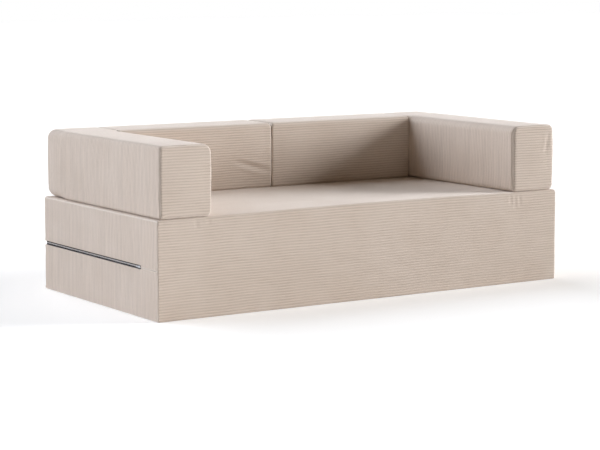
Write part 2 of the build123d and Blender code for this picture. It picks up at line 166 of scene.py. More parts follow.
class Value:
    """A value in a node tree, on which arithmetic adds Math nodes."""

    def __init__(self, nodes: "Nodes", socket: bpy.types.NodeSocket) -> None:
        """Wraps a socket of the given tree."""
        self.nodes = nodes
        self.socket = socket

    def math(self, operation: str, *others: "Value | float") -> "Value":
        """Result of one Math node on this value and the others."""
        inputs = dict(enumerate([self, *others]))
        return self.nodes.value("ShaderNodeMath", {"operation": operation}, inputs)

    __add__ = arithmetic("ADD")
    __sub__ = arithmetic("SUBTRACT")
    __rsub__ = arithmetic("SUBTRACT", swapped=True)
    __mul__ = arithmetic("MULTIPLY")
    __truediv__ = arithmetic("DIVIDE")
    __pow__ = arithmetic("POWER")


class Nodes:
    """Short way to fill a shader or geometry node tree."""

    def __init__(self, tree: bpy.types.NodeTree) -> None:
        """Works on the given tree."""
        self.tree = tree

    def add(
        self,
        kind: str,
        settings: dict[str, object] | None = None,
        inputs: dict[int | str, object] | None = None,
    ) -> bpy.types.Node:
        """Adds one node.

        Args:
            kind: the node's type.
            settings: properties to set first; "stops" holds a ramp's (place, colour) pairs.
            inputs: values or links by the socket's place or name.

        Returns:
            The new node.
        """
        node = self.tree.nodes.new(kind)
        for name, value in (settings or {}).items():
            if name == "stops":
                self._set_stops(node, value)
            else:
                setattr(node, name, value)
        for key, value in (inputs or {}).items():
            socket = node.inputs[key]
            if isinstance(value, Value):
                self.tree.links.new(value.socket, socket)
            elif isinstance(value, bpy.types.NodeSocket):
                self.tree.links.new(value, socket)
            else:
                socket.default_value = value
        return node

    def _set_stops(self, node: bpy.types.Node, stops: Stops) -> None:
        """Gives a ramp its stops.

        Args:
            node: the ramp.
            stops: its (place, colour) pairs.
        """
        elements = node.color_ramp.elements
        while len(elements) < len(stops):
            elements.new(1.0)
        for element, (place, colour) in zip(elements, stops):
            element.position = place
            element.color = colour

    def value(
        self,
        kind: str,
        settings: dict[str, object] | None = None,
        inputs: dict[int | str, object] | None = None,
        output: int | str = 0,
    ) -> Value:
        """Adds one node, as add does, and wraps the given one of its outputs."""
        return Value(self, self.add(kind, settings, inputs).outputs[output])

    def mix_colour(
        self, factor: Value | float, low: object, high: object, blend: str = "MIX"
    ) -> Value:
        """Mixes two colours.

        Args:
            factor: share of the second colour.
            low: the first colour.
            high: the second colour.
            blend: the Mix node's blend type.

        Returns:
            The mixed colour.
        """
        settings = {"data_type": "RGBA", "blend_type": blend}
        node = self.add("ShaderNodeMix", settings, {0: factor, 6: low, 7: high})
        return Value(self, node.outputs[2])

    def ramp(self, factor: Value, stops: Stops) -> Value:
        """Colour ramp on a value."""
        return self.value("ShaderNodeValToRGB", {"stops": stops}, {0: factor})

    def attribute(self, name: str) -> Value:
        """A number stored on the mesh."""
        return self.value("ShaderNodeAttribute", {"attribute_name": name}, output="Fac")

    def object_place(self) -> Value:
        """Object coordinates."""
        return self.value("ShaderNodeTexCoord", output="Object")

    def scaled_place(self, scale: Place) -> Value:
        """Object coordinates through a Mapping node."""
        inputs = {"Vector": self.object_place(), "Scale": scale}
        return self.value("ShaderNodeMapping", None, inputs)

    def cells(self, place: Value, scale: float) -> Value:
        """Cell texture's distance at a place."""
        return self.value("ShaderNodeTexVoronoi", None, {"Vector": place, "Scale": scale})

    def noise(
        self, place: Value, scale: float, detail: float = 2.0, roughness: float = 0.5
    ) -> Value:
        """Noise texture's value at a place, with its scale, detail and roughness."""
        inputs = {"Vector": place, "Scale": scale, "Detail": detail, "Roughness": roughness}
        return self.value("ShaderNodeTexNoise", None, inputs)

    def bump(
        self, height: Value, strength: float, distance: float, under: Value | None = None
    ) -> Value:
        """Bumps a surface's normal.

        Args:
            height: height of the bumps.
            strength: how much of them is seen.
            distance: how deep they are.
            under: a normal that is bumped already.

        Returns:
            The normal.
        """
        inputs = {"Height": height, "Strength": strength, "Distance": distance}
        if under is not None:
            inputs["Normal"] = under
        return self.value("ShaderNodeBump", None, inputs)


def new_material(name: str) -> tuple[bpy.types.Material, Nodes]:
    """Makes an empty node material.

    Args:
        name: the material's name.

    Returns:
        The material and its tree.
    """
    material = bpy.data.materials.new(name)
    material.use_nodes = True
    material.node_tree.nodes.clear()
    return material, Nodes(material.node_tree)


def darker(colour: Colour, share: float) -> Colour:
    """The colour with each channel brought down to a share of itself."""
    return tuple(channel * share for channel in colour[:3]) + (1.0,)


def finish_surface(nodes: Nodes, inputs: dict[str, object]) -> None:
    """Adds the shader with the given inputs and the tree's output."""
    shader = nodes.add("ShaderNodeBsdfPrincipled", None, inputs)
    nodes.add("ShaderNodeOutputMaterial", None, {"Surface": shader.outputs[0]})


@dataclass(frozen=True)
class Corduroy:
    """Wide-rib cotton corduroy: pale crests, valleys painted darker as the shade between the ribs,
    brushed pile.
    """

    name: str = "beige_corduroy"
    crest: Colour = (0.67, 0.555, 0.465, 1.0)
    # painted shade: the valley colour stands for the pile's shadow between the ribs
    valley: Colour = (0.42, 0.325, 0.255, 1.0)
    brushed: Colour = (0.75, 0.65, 0.57, 1.0)
    # painted highlight: lighter colour laid along every seam, lifting rounded edges that the lamps
    # leave dark
    seam_highlight: Colour = (0.775, 0.675, 0.590, 1.0)
    streak_low: Colour = (0.955, 0.952, 0.950, 1.0)
    streak_high: Colour = (1.040, 1.040, 1.040, 1.0)
    fleck_low: Colour = (0.90, 0.90, 0.90, 1.0)
    fleck_high: Colour = (1.06, 1.06, 1.06, 1.0)
    pile_scale: Pair = (900.0, 160.0)
    streak_scale: Pair = (64.0, 2.6)
    tuft_scale: float = 1400.0
    cloud_scale: float = 5.0
    cloud_share: float = 0.9
    pile_share: float = 0.5
    least_brushed: float = 0.22
    # share of the streaks kept on faces that do not face sideways; on side faces the rest is
    # painted raking-light shade
    end_streaks: float = 0.25
    roughness: float = 0.92
    sheen: float = 0.35

    def material(self) -> bpy.types.Material:
        """Builds the material on the cloth's own rib attributes.

        Returns:
            The material. Its streaks are strongest where the cloth faces sideways: painted shade of
            raking light across the ribs, laid over the pile's own streaks.
        """
        material, nodes = new_material(self.name)
        wale = nodes.attribute("wale")
        rib = nodes.attribute("rib")
        run = nodes.attribute("run")
        place = nodes.object_place()
        stretched = []
        for across, along in (self.pile_scale, self.streak_scale):
            inputs = {0: rib * across, 1: run * along, 2: 0.0}
            stretched.append(nodes.value("ShaderNodeCombineXYZ", None, inputs))
        pile = nodes.noise(stretched[0], 1.0, 2.0)
        streaks = nodes.noise(stretched[1], 1.0, 1.0)
        tufts = nodes.noise(place, self.tuft_scale, 1.0)
        clouds = nodes.noise(place, self.cloud_scale, 3.0)
        shaded = nodes.ramp(streaks, [(0.35, self.streak_low), (0.65, self.streak_high)])
        # painted shade: streak contrast grows on faces turned sideways, standing in for raking
        # light across the ribs
        facing = nodes.value("ShaderNodeTexCoord", output="Normal")
        turned = nodes.value("ShaderNodeSeparateXYZ", None, {0: facing})
        raking_shade_share = turned.math("ABSOLUTE") * (1.0 - self.end_streaks) + self.end_streaks
        # painted shade: darker valley colour where the ribs' wale falls
        base = nodes.mix_colour(wale ** 0.7, self.valley, self.crest)
        uneven = (clouds - 0.5) * self.cloud_share + (pile - 0.5) * self.pile_share
        lift = uneven + self.least_brushed
        toned = nodes.mix_colour(lift.math("MAXIMUM", 0.0) * wale, base, self.brushed)
        fleck = nodes.ramp(tufts, [(0.3, self.fleck_low), (0.7, self.fleck_high)])
        flecked = nodes.mix_colour(1.0, toned, fleck, "MULTIPLY")
        # painted highlight: where fade falls to 0 at a seam, the colour turns to the lighter seam
        # colour
        seam_highlighted = nodes.mix_colour(nodes.attribute("fade"), self.seam_highlight, flecked)
        colour = nodes.mix_colour(raking_shade_share, seam_highlighted, shaded, "MULTIPLY")
        fine = nodes.bump(tufts, 0.25, 0.0006)
        normal = nodes.bump(pile, 0.35, 0.0008, fine)
        finish_surface(nodes, {
            "Base Color": colour,
            "Roughness": (1.0 - wale) * 0.06 + self.roughness,
            "Specular IOR Level": 0.15,
            "Sheen Weight": self.sheen,
            "Sheen Roughness": 0.45,
            "Sheen Tint": (1.0, 0.95, 0.91, 1.0),
            "Normal": normal,
        })
        return material


@dataclass(frozen=True)
class Foam:
    """Open-cell foam: fine pores painted darker as their shade, slightly yellowed."""

    name: str
    colour: Colour
    cell_scale: float = 420.0
    cloud_scale: float = 6.0
    pore_shadow: float = 0.72
    cloud_shade: float = 0.9

    def material(self) -> bpy.types.Material:
        """Builds the material.

        Returns:
            The material.
        """
        material, nodes = new_material(self.name)
        place = nodes.object_place()
        cells = nodes.cells(place, self.cell_scale)
        clouds = nodes.noise(place, self.cloud_scale, 3.0)
        walls = (cells * 1.3).math("MINIMUM", 1.0)
        # painted shade: the pores are darkened as the shadow inside the open cells
        colour = nodes.mix_colour(walls, darker(self.colour, self.pore_shadow), self.colour)
        toned = nodes.mix_colour(clouds * 0.4, colour, darker(self.colour, self.cloud_shade))
        finish_surface(nodes, {
            "Base Color": toned,
            "Roughness": 0.95,
            "Specular IOR Level": 0.1,
            "Normal": nodes.bump(cells, 0.5, 0.001),
        })
        return material


@dataclass(frozen=True)
class Weave:
    """Plain woven or needled cloth with a thread grid."""

    name: str
    light: Colour
    dark: Colour
    thread_scale: float = 1500.0
    roughness: float = 0.85
    depth: float = 0.0004
    wear_scale: float = 30.0

    def material(self) -> bpy.types.Material:
        """Builds the material.

        Returns:
            The material.
        """
        material, nodes = new_material(self.name)
        place = nodes.scaled_place((self.thread_scale,) * 3)
        parts = nodes.add("ShaderNodeSeparateXYZ", None, {0: place})
        waves = [Value(nodes, parts.outputs[k]).math("SINE") for k in range(3)]
        threads = (waves[0] * waves[1] + waves[2] * 0.6) * 0.35 + 0.5
        wear = nodes.noise(nodes.object_place(), self.wear_scale, 3.0)
        grid = nodes.mix_colour(threads.math("MAXIMUM", 0.0), self.dark, self.light)
        colour = nodes.mix_colour(wear * 0.3, grid, self.dark)
        finish_surface(nodes, {
            "Base Color": colour,
            "Roughness": wear * 0.1 + self.roughness,
            "Specular IOR Level": 0.2,
            "Normal": nodes.bump(threads, 0.5, self.depth),
        })
        return material


@dataclass(frozen=True)
class Fleece:
    """Loose fibres: wadding, or the loops and hooks of a fastening strip."""

    name: str
    light: Colour
    dark: Colour
    scale: float = 500.0
    tangle_share: float = 1.7

    def material(self) -> bpy.types.Material:
        """Builds the material.

        Returns:
            The material.
        """
        material, nodes = new_material(self.name)
        place = nodes.object_place()
        fibres = nodes.noise(place, self.scale, 4.0, 0.7)
        tangle = nodes.cells(place, self.scale * self.tangle_share)
        factor = (fibres + tangle * 0.4 - 0.35).math("MAXIMUM", 0.0) * 1.6
        colour = nodes.mix_colour(factor.math("MINIMUM", 1.0), self.dark, self.light)
        finish_surface(nodes, {
            "Base Color": colour,
            "Roughness": fibres * 0.1 + 0.88,
            "Specular IOR Level": 0.15,
            "Sheen Weight": 0.2,
            "Normal": nodes.bump(fibres, 0.6, 0.001),
        })
        return material


@dataclass(frozen=True)
class CoilPlastic:
    """Satin moulded coil with small tone changes from tooth to tooth."""

    name: str
    colour: Colour
    roughness: float = 0.32
    tone_scale: float = 220.0
    scuff_scale: float = 2600.0
    tone_shade: float = 0.8

    def material(self) -> bpy.types.Material:
        """Builds the material.

        Returns:
            The material.
        """
        material, nodes = new_material(self.name)
        place = nodes.object_place()
        tone = nodes.noise(place, self.tone_scale, 2.0)
        scuffs = nodes.noise(place, self.scuff_scale, 2.0)
        shade = darker(self.colour, self.tone_shade)
        finish_surface(nodes, {
            "Base Color": nodes.mix_colour(tone, self.colour, shade),
            "Roughness": scuffs * 0.2 + self.roughness,
            "Normal": nodes.bump(scuffs, 0.12, 0.0002),
        })
        return material


@dataclass(frozen=True)
class CastMetal:
    """Tumbled zinc casting of a slider or stop."""

    name: str
    colour: Colour
    roughness: float = 0.24
    grain_scale: float = 1800.0
    stain_scale: float = 160.0
    stain_shade: float = 0.78

    def material(self) -> bpy.types.Material:
        """Builds the material.

        Returns:
            The material.
        """
        material, nodes = new_material(self.name)
        place = nodes.object_place()
        grain = nodes.noise(place, self.grain_scale, 3.0)
        stains = nodes.noise(place, self.stain_scale, 2.0)
        shade = darker(self.colour, self.stain_shade)
        finish_surface(nodes, {
            "Base Color": nodes.mix_colour(stains, self.colour, shade),
            "Metallic": 1.0,
            "Roughness": stains * 0.18 + self.roughness,
            "Normal": nodes.bump(grain, 0.1, 0.0002),
        })
        return material


@dataclass(frozen=True)
class StudioFloor:
    """Plain pale floor, lit a little from below as a light table is."""

    name: str = "studio_floor"
    colour: Colour = (0.78, 0.755, 0.73, 1.0)
    seen_glow: float = 0.34
    cast_glow: float = 0.06

    def material(self) -> bpy.types.Material:
        """Builds the material.

        Returns:
            The material, whose glow looks brighter than the light that it throws.
        """
        material, nodes = new_material(self.name)
        seen = nodes.value("ShaderNodeLightPath", output="Is Camera Ray")
        glows = [(glow, glow, glow, 1.0) for glow in (self.cast_glow, self.seen_glow)]
        finish_surface(nodes, {
            "Base Color": self.colour,
            "Roughness": 0.9,
            "Specular IOR Level": 0.0,
            "Emission Color": nodes.mix_colour(seen, *glows),
            "Emission Strength": 1.0,
        })
        return material


def eased(value: np.ndarray) -> np.ndarray:
    """Smooth step of a value held between 0 and 1."""
    held = np.clip(value, 0.0, 1.0)
    return held * held * (3.0 - 2.0 * held)


def slow_drift(places: np.ndarray, seed: int = 4) -> np.ndarray:
    """Smooth value that changes over a few hands' breadths, for ribs that wander.

    Args:
        places: where it is asked for.
        seed: seed of its seven waves.

    Returns:
        The value, of about -1 to 1, at each place.
    """
    random = np.random.default_rng(seed)
    total = np.zeros(places.shape[:-1])
    for _ in range(7):
        way = random.normal(size=3)
        turns = places @ (way / np.linalg.norm(way)) / random.uniform(0.15, 0.45)
        total += np.sin((turns + random.uniform(0, 1)) * 2 * math.pi)
    return total / 3.0


@dataclass
class Skin:
    """Points and faces of one cover while it is put together."""

    points: list[np.ndarray] = field(default_factory=list)
    rib: list[np.ndarray] = field(default_factory=list)
    run: list[np.ndarray] = field(default_factory=list)
    fade: list[np.ndarray] = field(default_factory=list)
    quads: list[np.ndarray] = field(default_factory=list)
    triangles: list[np.ndarray] = field(default_factory=list)
    count: int = 0

    def add(
        self, points: np.ndarray, rib: np.ndarray, run: np.ndarray, fade: np.ndarray
    ) -> np.ndarray:
        """Adds a grid of points.

        Args:
            points: places, with the grid's shape and then 3.
            rib: distance across the ribs at each point.
            run: distance along the ribs at each point.
            fade: share of the rib's height at each point.

        Returns:
            The points' numbers, in the grid's shape.
        """
        shape = points.shape[:-1]
        numbers = np.arange(self.count, self.count + math.prod(shape)).reshape(shape)
        self.count += numbers.size
        self.points.append(points.reshape(-1, 3))
        for store, value in ((self.rib, rib), (self.run, run), (self.fade, fade)):
            store.append(np.broadcast_to(value, shape).reshape(-1).astype(np.float64))
        return numbers

    def fill(self, numbers: np.ndarray, closed: bool) -> None:
        """Joins a grid of points with quads.

        Args:
            numbers: the points' numbers.
            closed: whether the columns close into a ring.
        """
        ring = np.concatenate([numbers, numbers[:, :1]], axis=1) if closed else numbers
        corners = (ring[:-1, :-1], ring[:-1, 1:], ring[1:, 1:], ring[1:, :-1])
        self.quads.append(np.stack(corners, axis=-1).reshape(-1, 4))

    def bridge(
        self, first: np.ndarray, second: np.ndarray, angles: tuple[np.ndarray, np.ndarray]
    ) -> None:
        """Joins two closed rings that run the same way round one outline.

        Args:
            first: numbers of the first ring's points.
            second: numbers of the second ring's points.
            angles: each ring's angles about the outline's middle.
        """
        rings = []
        for numbers, angle in zip((first, second), angles):
            turn = np.mod(angle, 2 * math.pi)
            start = int(np.argmin(turn))
            order = np.roll(np.arange(len(numbers)), -start)
            turned = np.unwrap(np.concatenate([turn[order], [turn[start] + 2 * math.pi]]))
            rings.append((np.append(numbers[order], numbers[start]), turned))
        (a, at_a), (b, at_b) = rings
        i, j, made = 0, 0, []
        while i < len(a) - 1 or j < len(b) - 1:
            if j == len(b) - 1 or (i < len(a) - 1 and at_a[i + 1] <= at_b[j + 1]):
                made.append((a[i], a[i + 1], b[j]))
                i += 1
            else:
                made.append((a[i], b[j + 1], b[j]))
                j += 1
        self.triangles.append(np.array(made))

    def places(self) -> np.ndarray:
        """Every point's place."""
        return np.concatenate(self.points)

    def mesh(self, name: str, places: np.ndarray) -> bpy.types.Mesh:
        """Makes the mesh, with faces outwards and the ribs' attributes.

        Args:
            name: the mesh's name.
            places: every point's final place.

        Returns:
            The mesh.
        """
        quads = np.concatenate(self.quads)
        triangles = np.concatenate(self.triangles) if self.triangles else np.zeros((0, 3), int)
        mesh = bpy.data.meshes.new(name)
        mesh.vertices.add(len(places))
        mesh.vertices.foreach_set("co", places.astype(np.float32).ravel())
        mesh.loops.add(quads.size + triangles.size)
        mesh.loops.foreach_set("vertex_index", np.concatenate([quads.ravel(), triangles.ravel()]))
        mesh.polygons.add(len(quads) + len(triangles))
        starts = np.concatenate([
            np.arange(len(quads)) * 4, quads.size + np.arange(len(triangles)) * 3
        ])
        mesh.polygons.foreach_set("loop_start", starts)
        mesh.update(calc_edges=True)
        mesh.validate()
        for key, values in (("rib", self.rib), ("run", self.run), ("fade", self.fade)):
            attribute = mesh.attributes.new(key, "FLOAT", "POINT")
            attribute.data.foreach_set("value", np.concatenate(values).astype(np.float32))
        outwards(mesh)
        return mesh


def rim(grid: np.ndarray) -> np.ndarray:
    """The border of a grid, once round."""
    return np.concatenate([grid[0, :-1], grid[:-1, -1], grid[-1, :0:-1], grid[:0:-1, 0]])


@dataclass
class RoundedBlock:
    """A block wrapped in cloth along one axis and closed by two end panels.

    The profile is seen along the axis: its sides are bottom, right, top and left, its
    corners bottom right, top right, top left and bottom left.
    """

    low: Place
    high: Place
    way: Way
    corners: Sides
    low_end: Sides
    high_end: Sides
    ribs: Ribs
    cap_ribs: CapRibs
    side_segments: Sides = (6.0, 6.0, 6.0, 6.0)
    coarse: float = 0.02
    coarse_arc: float = 0.006
    coarse_turn: float = 0.0025
    blend_reach: float = 0.004
    rib_step: float = RIB_PITCH / 6
    cap_edge_steps: tuple[float, ...] = (0.0, 0.002, 0.0045, 0.008, 0.013)
    cap_low_steps: tuple[float, ...] | None = None
    cap_high_steps: tuple[float, ...] | None = None
    band_sway: float = 0.0
    cap_sway: float = 0.0

    def __post_init__(self) -> None:
        """Works out the profile's limits and the axis's ends."""
        axis = self.way.value
        across = 1 - axis
        self.limits = (self.low[across], self.high[across], self.low[2], self.high[2])
        self.ends = (self.low[axis], self.high[axis])

    def place(self, p: np.ndarray, q: np.ndarray, a: np.ndarray) -> np.ndarray:
        """Points of the block.

        Args:
            p: places across the profile.
            q: places up the profile.
            a: places along the axis.

        Returns:
            The points.
        """
        p, q, a = np.broadcast_arrays(p, q, a)
        parts = (a, p, q) if self.way is Way.ALONG_X else (p, a, q)
        return np.stack(parts, axis=-1).astype(np.float64)

    def ring(self) -> tuple[np.ndarray, np.ndarray, np.ndarray, np.ndarray]:
        """Samples the profile once round.

        Returns:
            Whether each sample is in a corner, its side or corner, its share along it, and
            its distance from the upper end of the left side.
        """
        low_p, high_p, low_q, high_q = self.limits
        fine = self.ribs is Ribs.LENGTHWISE
        samples = []
        travelled = 0.0
        for k in range(4):
            side = high_q - low_q if k % 2 else high_p - low_p
            side = side - self.corners[k - 1] - self.corners[k]
            side_step = RIB_PITCH / self.side_segments[k] if fine else self.coarse
            arc = self.corners[k] * math.pi / 2
            arc_step = self.rib_step if fine else self.coarse_arc
            for rounded, length, step in ((False, side, side_step), (True, arc, arc_step)):
                count = max(3 if rounded else 2, round(length / step))
                t = np.arange(count) / count
                kind, number = np.full(count, rounded), np.full(count, k)
                samples.append((kind, number, t, travelled + t * length))
                travelled += length
            if k == 2:
                start = travelled
        in_corner, index, share, distance = (np.concatenate(part) for part in zip(*samples))
        return in_corner, index, share, distance - start

    def drawn_in(self, insets: Sequence) -> tuple[tuple, list]:
        """Profile drawn in by an inset on each side.

        Args:
            insets: insets of the bottom, the right, the top and the left.

        Returns:
            The limits across and up, and the corners' radii.
        """
        bottom, right, top, left = insets
        limits = (
            self.limits[0] + left, self.limits[1] - right,
            self.limits[2] + bottom, self.limits[3] - top,
        )
        radii = []
        for k in range(4):
            mean = (insets[k] + insets[(k + 1) % 4]) / 2
            radii.append(np.maximum(self.corners[k] - mean, LEAST_ROUND))
        return limits, radii

    def outline(self, ring: tuple, insets: np.ndarray) -> tuple[np.ndarray, np.ndarray]:
        """Places on the profile where it is drawn in.

        Args:
            ring: the samples.
            insets: four insets in each row.

        Returns:
            Coordinates across and up, one row for each row of insets.
        """
        in_corner, index, share, _ = ring
        limits, (r0, r1, r2, r3) = self.drawn_in([insets[:, k:k + 1] for k in range(4)])
        low_p, high_p, low_q, high_q = limits
        centres_p = (high_p - r0, high_p - r1, low_p + r2, low_p + r3)
        centres_q = (low_q + r0, high_q - r1, high_q - r2, low_q + r3)
        edges = (low_q, high_p, high_q, low_p)
        p = np.zeros((len(insets), len(index)))
        q = np.zeros_like(p)
        for k, radius in enumerate((r0, r1, r2, r3)):
            on_side = (index == k) & ~in_corner
            t = share[on_side][None, :]
            level, moving, centres = (p, q, centres_q) if k % 2 else (q, p, centres_p)
            level[:, on_side] = edges[k]
            moving[:, on_side] = centres[k - 1] + (centres[k] - centres[k - 1]) * t
            on_arc = (index == k) & in_corner
            angle = (k - 1 + share[on_arc][None, :]) * math.pi / 2
            p[:, on_arc] = centres_p[k] + radius * np.cos(angle)
            q[:, on_arc] = centres_q[k] + radius * np.sin(angle)
        return p, q

    def edge_radius(self, ring: tuple, radii: Sides) -> np.ndarray:
        """Rounding of the end's edge at each sample of the profile.

        Args:
            ring: the samples.
            radii: the rounding at each side.

        Returns:
            The rounding, which changes evenly through the corners.
        """
        in_corner, index, share, _ = ring
        own = np.array(radii)[index]
        following = np.array(radii)[(index + 1) % 4]
        return np.where(in_corner, own + (following - own) * share, own)

    def band(self, skin: Skin, ring: tuple) -> np.ndarray:
        """Adds the cloth wrapped round the profile, from seam to seam.

        Args:
            skin: the cover that it belongs to.
            ring: the profile's samples.

        Returns:
            The numbers of its rows of points.
        """
        lows = self.edge_radius(ring, self.low_end)
        highs = self.edge_radius(ring, self.high_end)
        low, high = self.ends
        around = self.ribs is Ribs.ROUND
        step = self.rib_step if around else self.coarse
        largest = max(*self.low_end, *self.high_end)
        turns = max(5, round(largest * SEAM_ANGLE / (step if around else self.coarse_turn)))
        count = max(4, round((high - low - self.low_end[0] - self.high_end[0]) / step))
        rows = [(-1, t * SEAM_ANGLE, 0.0) for t in np.linspace(1.0, 0.0, turns, endpoint=False)]
        rows += [(0, 0.0, t) for t in np.linspace(0.0, 1.0, count + 1)]
        rows += [(1, t * SEAM_ANGLE, 1.0) for t in np.linspace(0.0, 1.0, turns + 1)[1:]]
        insets, along, travel, fades = [], [], [], []
        for end, angle, t in rows:
            radii = self.high_end if end > 0 else self.low_end
            insets.append([radius * (1 - math.cos(angle)) for radius in radii])
            start = low + lows * (1 - (math.sin(angle) if end < 0 else 0.0))
            stop = high - highs * (1 - (math.sin(angle) if end > 0 else 0.0))
            place = start if end < 0 else stop if end > 0 else start + (stop - start) * t
            along.append(place)
            own = lows if end < 0 else highs
            travel.append(place + (own * angle - own * math.sin(angle)) * end)
            to_low = SEAM_ANGLE * lows + place - low - lows
            to_high = SEAM_ANGLE * highs + high - highs - place
            if end < 0:
                to_low = (SEAM_ANGLE - angle) * lows
            if end > 0:
                to_high = (SEAM_ANGLE - angle) * highs
            fades.append(eased(np.minimum(to_low, to_high) / SEAM_FADE))
        p, q = self.outline(ring, np.array(insets))
        points = self.place(p, q, np.array(along))
        round_profile = np.broadcast_to(ring[3][None, :], p.shape)
        travelled = np.array(travel)
        rib, run = (travelled, round_profile) if around else (round_profile, travelled)
        return skin.add(points, rib + slow_drift(points) * self.band_sway, run, np.array(fades))

    def cap_drop(self, p: np.ndarray, q: np.ndarray, radii: Sides) -> np.ndarray:
        """How far an end panel falls back from its plane.

        Args:
            p: places across the profile.
            q: places up the profile.
            radii: the rounding at each side.

        Returns:
            The fall at each place.
        """
        low_p, high_p, low_q, high_q = self.limits
        right_half = p > (low_p + high_p) / 2
        top_half = q > (low_q + high_q) / 2
        corner = np.where(
            top_half,
            np.where(right_half, self.corners[1], self.corners[2]),
            np.where(right_half, self.corners[0], self.corners[3]),
        )
        over_p = np.abs(p - (low_p + high_p) / 2) - (high_p - low_p) / 2 + corner
        over_q = np.abs(q - (low_q + high_q) / 2) - (high_q - low_q) / 2 + corner
        outside = np.hypot(np.maximum(over_p, 0), np.maximum(over_q, 0))
        depth = corner - outside - np.minimum(np.maximum(over_p, over_q), 0)
        gaps = np.stack([q - low_q, high_p - p, high_q - q, p - low_p])
        weights = np.exp(-np.maximum(gaps, 0) / self.blend_reach) + 1e-12
        radius = (weights * np.array(radii).reshape(4, *[1] * p.ndim)).sum(0) / weights.sum(0)
        share = np.clip(1 - depth / radius, 0.0, 1.0)
        return radius * (1 - np.sqrt(1 - share ** 2))

    def line_ends(
        self, c: np.ndarray, insets: list[float], level: bool
    ) -> tuple[np.ndarray, np.ndarray]:
        """Where the lines of an end panel start and stop on its outline.

        Args:
            c: each line's place.
            insets: the outline's insets.
            level: whether the lines are level and stacked upwards.

        Returns:
            Each line's start and stop.
        """
        (low_p, high_p, low_q, high_q), (r0, r1, r2, r3) = self.drawn_in(insets)
        if level:
            first, last, near, far = low_q, high_q, low_p, high_p
            rounds = ((r3, r2), (r0, r1))
        else:
            first, last, near, far = low_p, high_p, low_q, high_q
            rounds = ((r3, r0), (r2, r1))
        cuts = []
        for at_first, at_last in rounds:
            from_first = np.clip(at_first - (c - first), 0, at_first)
            from_last = np.clip(at_last - (last - c), 0, at_last)
            cut = at_first - np.sqrt(at_first ** 2 - from_first ** 2)
            cuts.append(cut + at_last - np.sqrt(at_last ** 2 - from_last ** 2))
        return near + cuts[0], far - cuts[1]

    def cap(self, skin: Skin, high: bool) -> tuple[np.ndarray, np.ndarray]:
        """Adds one end panel.

        Args:
            skin: the cover that it belongs to.
            high: whether it closes the far end.

        Returns:
            The numbers of the points on its outline in order, and their angles.
        """
        radii = self.high_end if high else self.low_end
        insets = [radius * (1 - math.cos(SEAM_ANGLE)) for radius in radii]
        level = self.cap_ribs is CapRibs.LEVEL
        low_p, high_p, low_q, high_q = self.drawn_in(insets)[0]
        first, last = (low_q, high_q) if level else (low_p, high_p)
        lines = np.linspace(first, last, round((last - first) / self.rib_step) + 1)
        start, stop = self.line_ends(lines, insets, level)
        low_steps = np.array(self.cap_low_steps or self.cap_edge_steps)
        high_steps = np.array(self.cap_high_steps or self.cap_edge_steps)
        longest = float((stop - start).max())
        free = longest - low_steps[-1] - high_steps[-1]
        middle = np.linspace(0, 1, max(2, round(free / self.coarse)) + 1)[1:-1]
        spots = np.concatenate([
            low_steps, low_steps[-1] + middle * free, longest - high_steps[::-1]
        ]) / longest
        across = start[:, None] + (stop - start)[:, None] * spots[None, :]
        lines = np.broadcast_to(lines[:, None], across.shape)
        p, q = (across, lines) if level else (lines, across)
        drop = self.cap_drop(p, q, radii)
        along = self.ends[1] - drop if high else self.ends[0] + drop
        edge = np.minimum.reduce([p - low_p, high_p - p, q - low_q, high_q - q])
        edge = np.minimum(edge, np.minimum(across - start[:, None], stop[:, None] - across))
        points = self.place(p, q, along)
        rib = lines - first + slow_drift(points) * self.cap_sway
        numbers = skin.add(points, rib, across, eased(edge / SEAM_FADE))
        skin.fill(numbers, closed=False)
        border, rim_p, rim_q = (rim(grid)[::1 if level else -1] for grid in (numbers, p, q))
        return border, self.angles(rim_p, rim_q)

    def angles(self, p: np.ndarray, q: np.ndarray) -> np.ndarray:
        """Angle of each place about the profile's middle.

        Args:
            p: places across the profile.
            q: places up the profile.

        Returns:
            The angles, counted from just before the lower left corner.
        """
        middle_p = (self.limits[0] + self.limits[1]) / 2
        middle_q = (self.limits[2] + self.limits[3]) / 2
        corner = math.atan2(self.limits[2] - middle_q, self.limits[0] - middle_p)
        return np.arctan2(q - middle_q, p - middle_p) - corner + 0.02

    def wrap(self) -> tuple[Skin, np.ndarray, tuple]:
        """Builds the whole cover.

        Returns:
            The cover, the numbers of the wrapped cloth's points, and the profile's samples.
        """
        skin = Skin()
        ring = self.ring()
        rows = self.band(skin, ring)
        skin.fill(rows, closed=True)
        across = 1 - self.way.value
        for high in (False, True):
            border, angles = self.cap(skin, high)
            own = rows[-1] if high else rows[0]
            places = skin.points[0][own]
            skin.bridge(own, border, (self.angles(places[:, across], places[:, 2]), angles))
        return skin, rows, ring


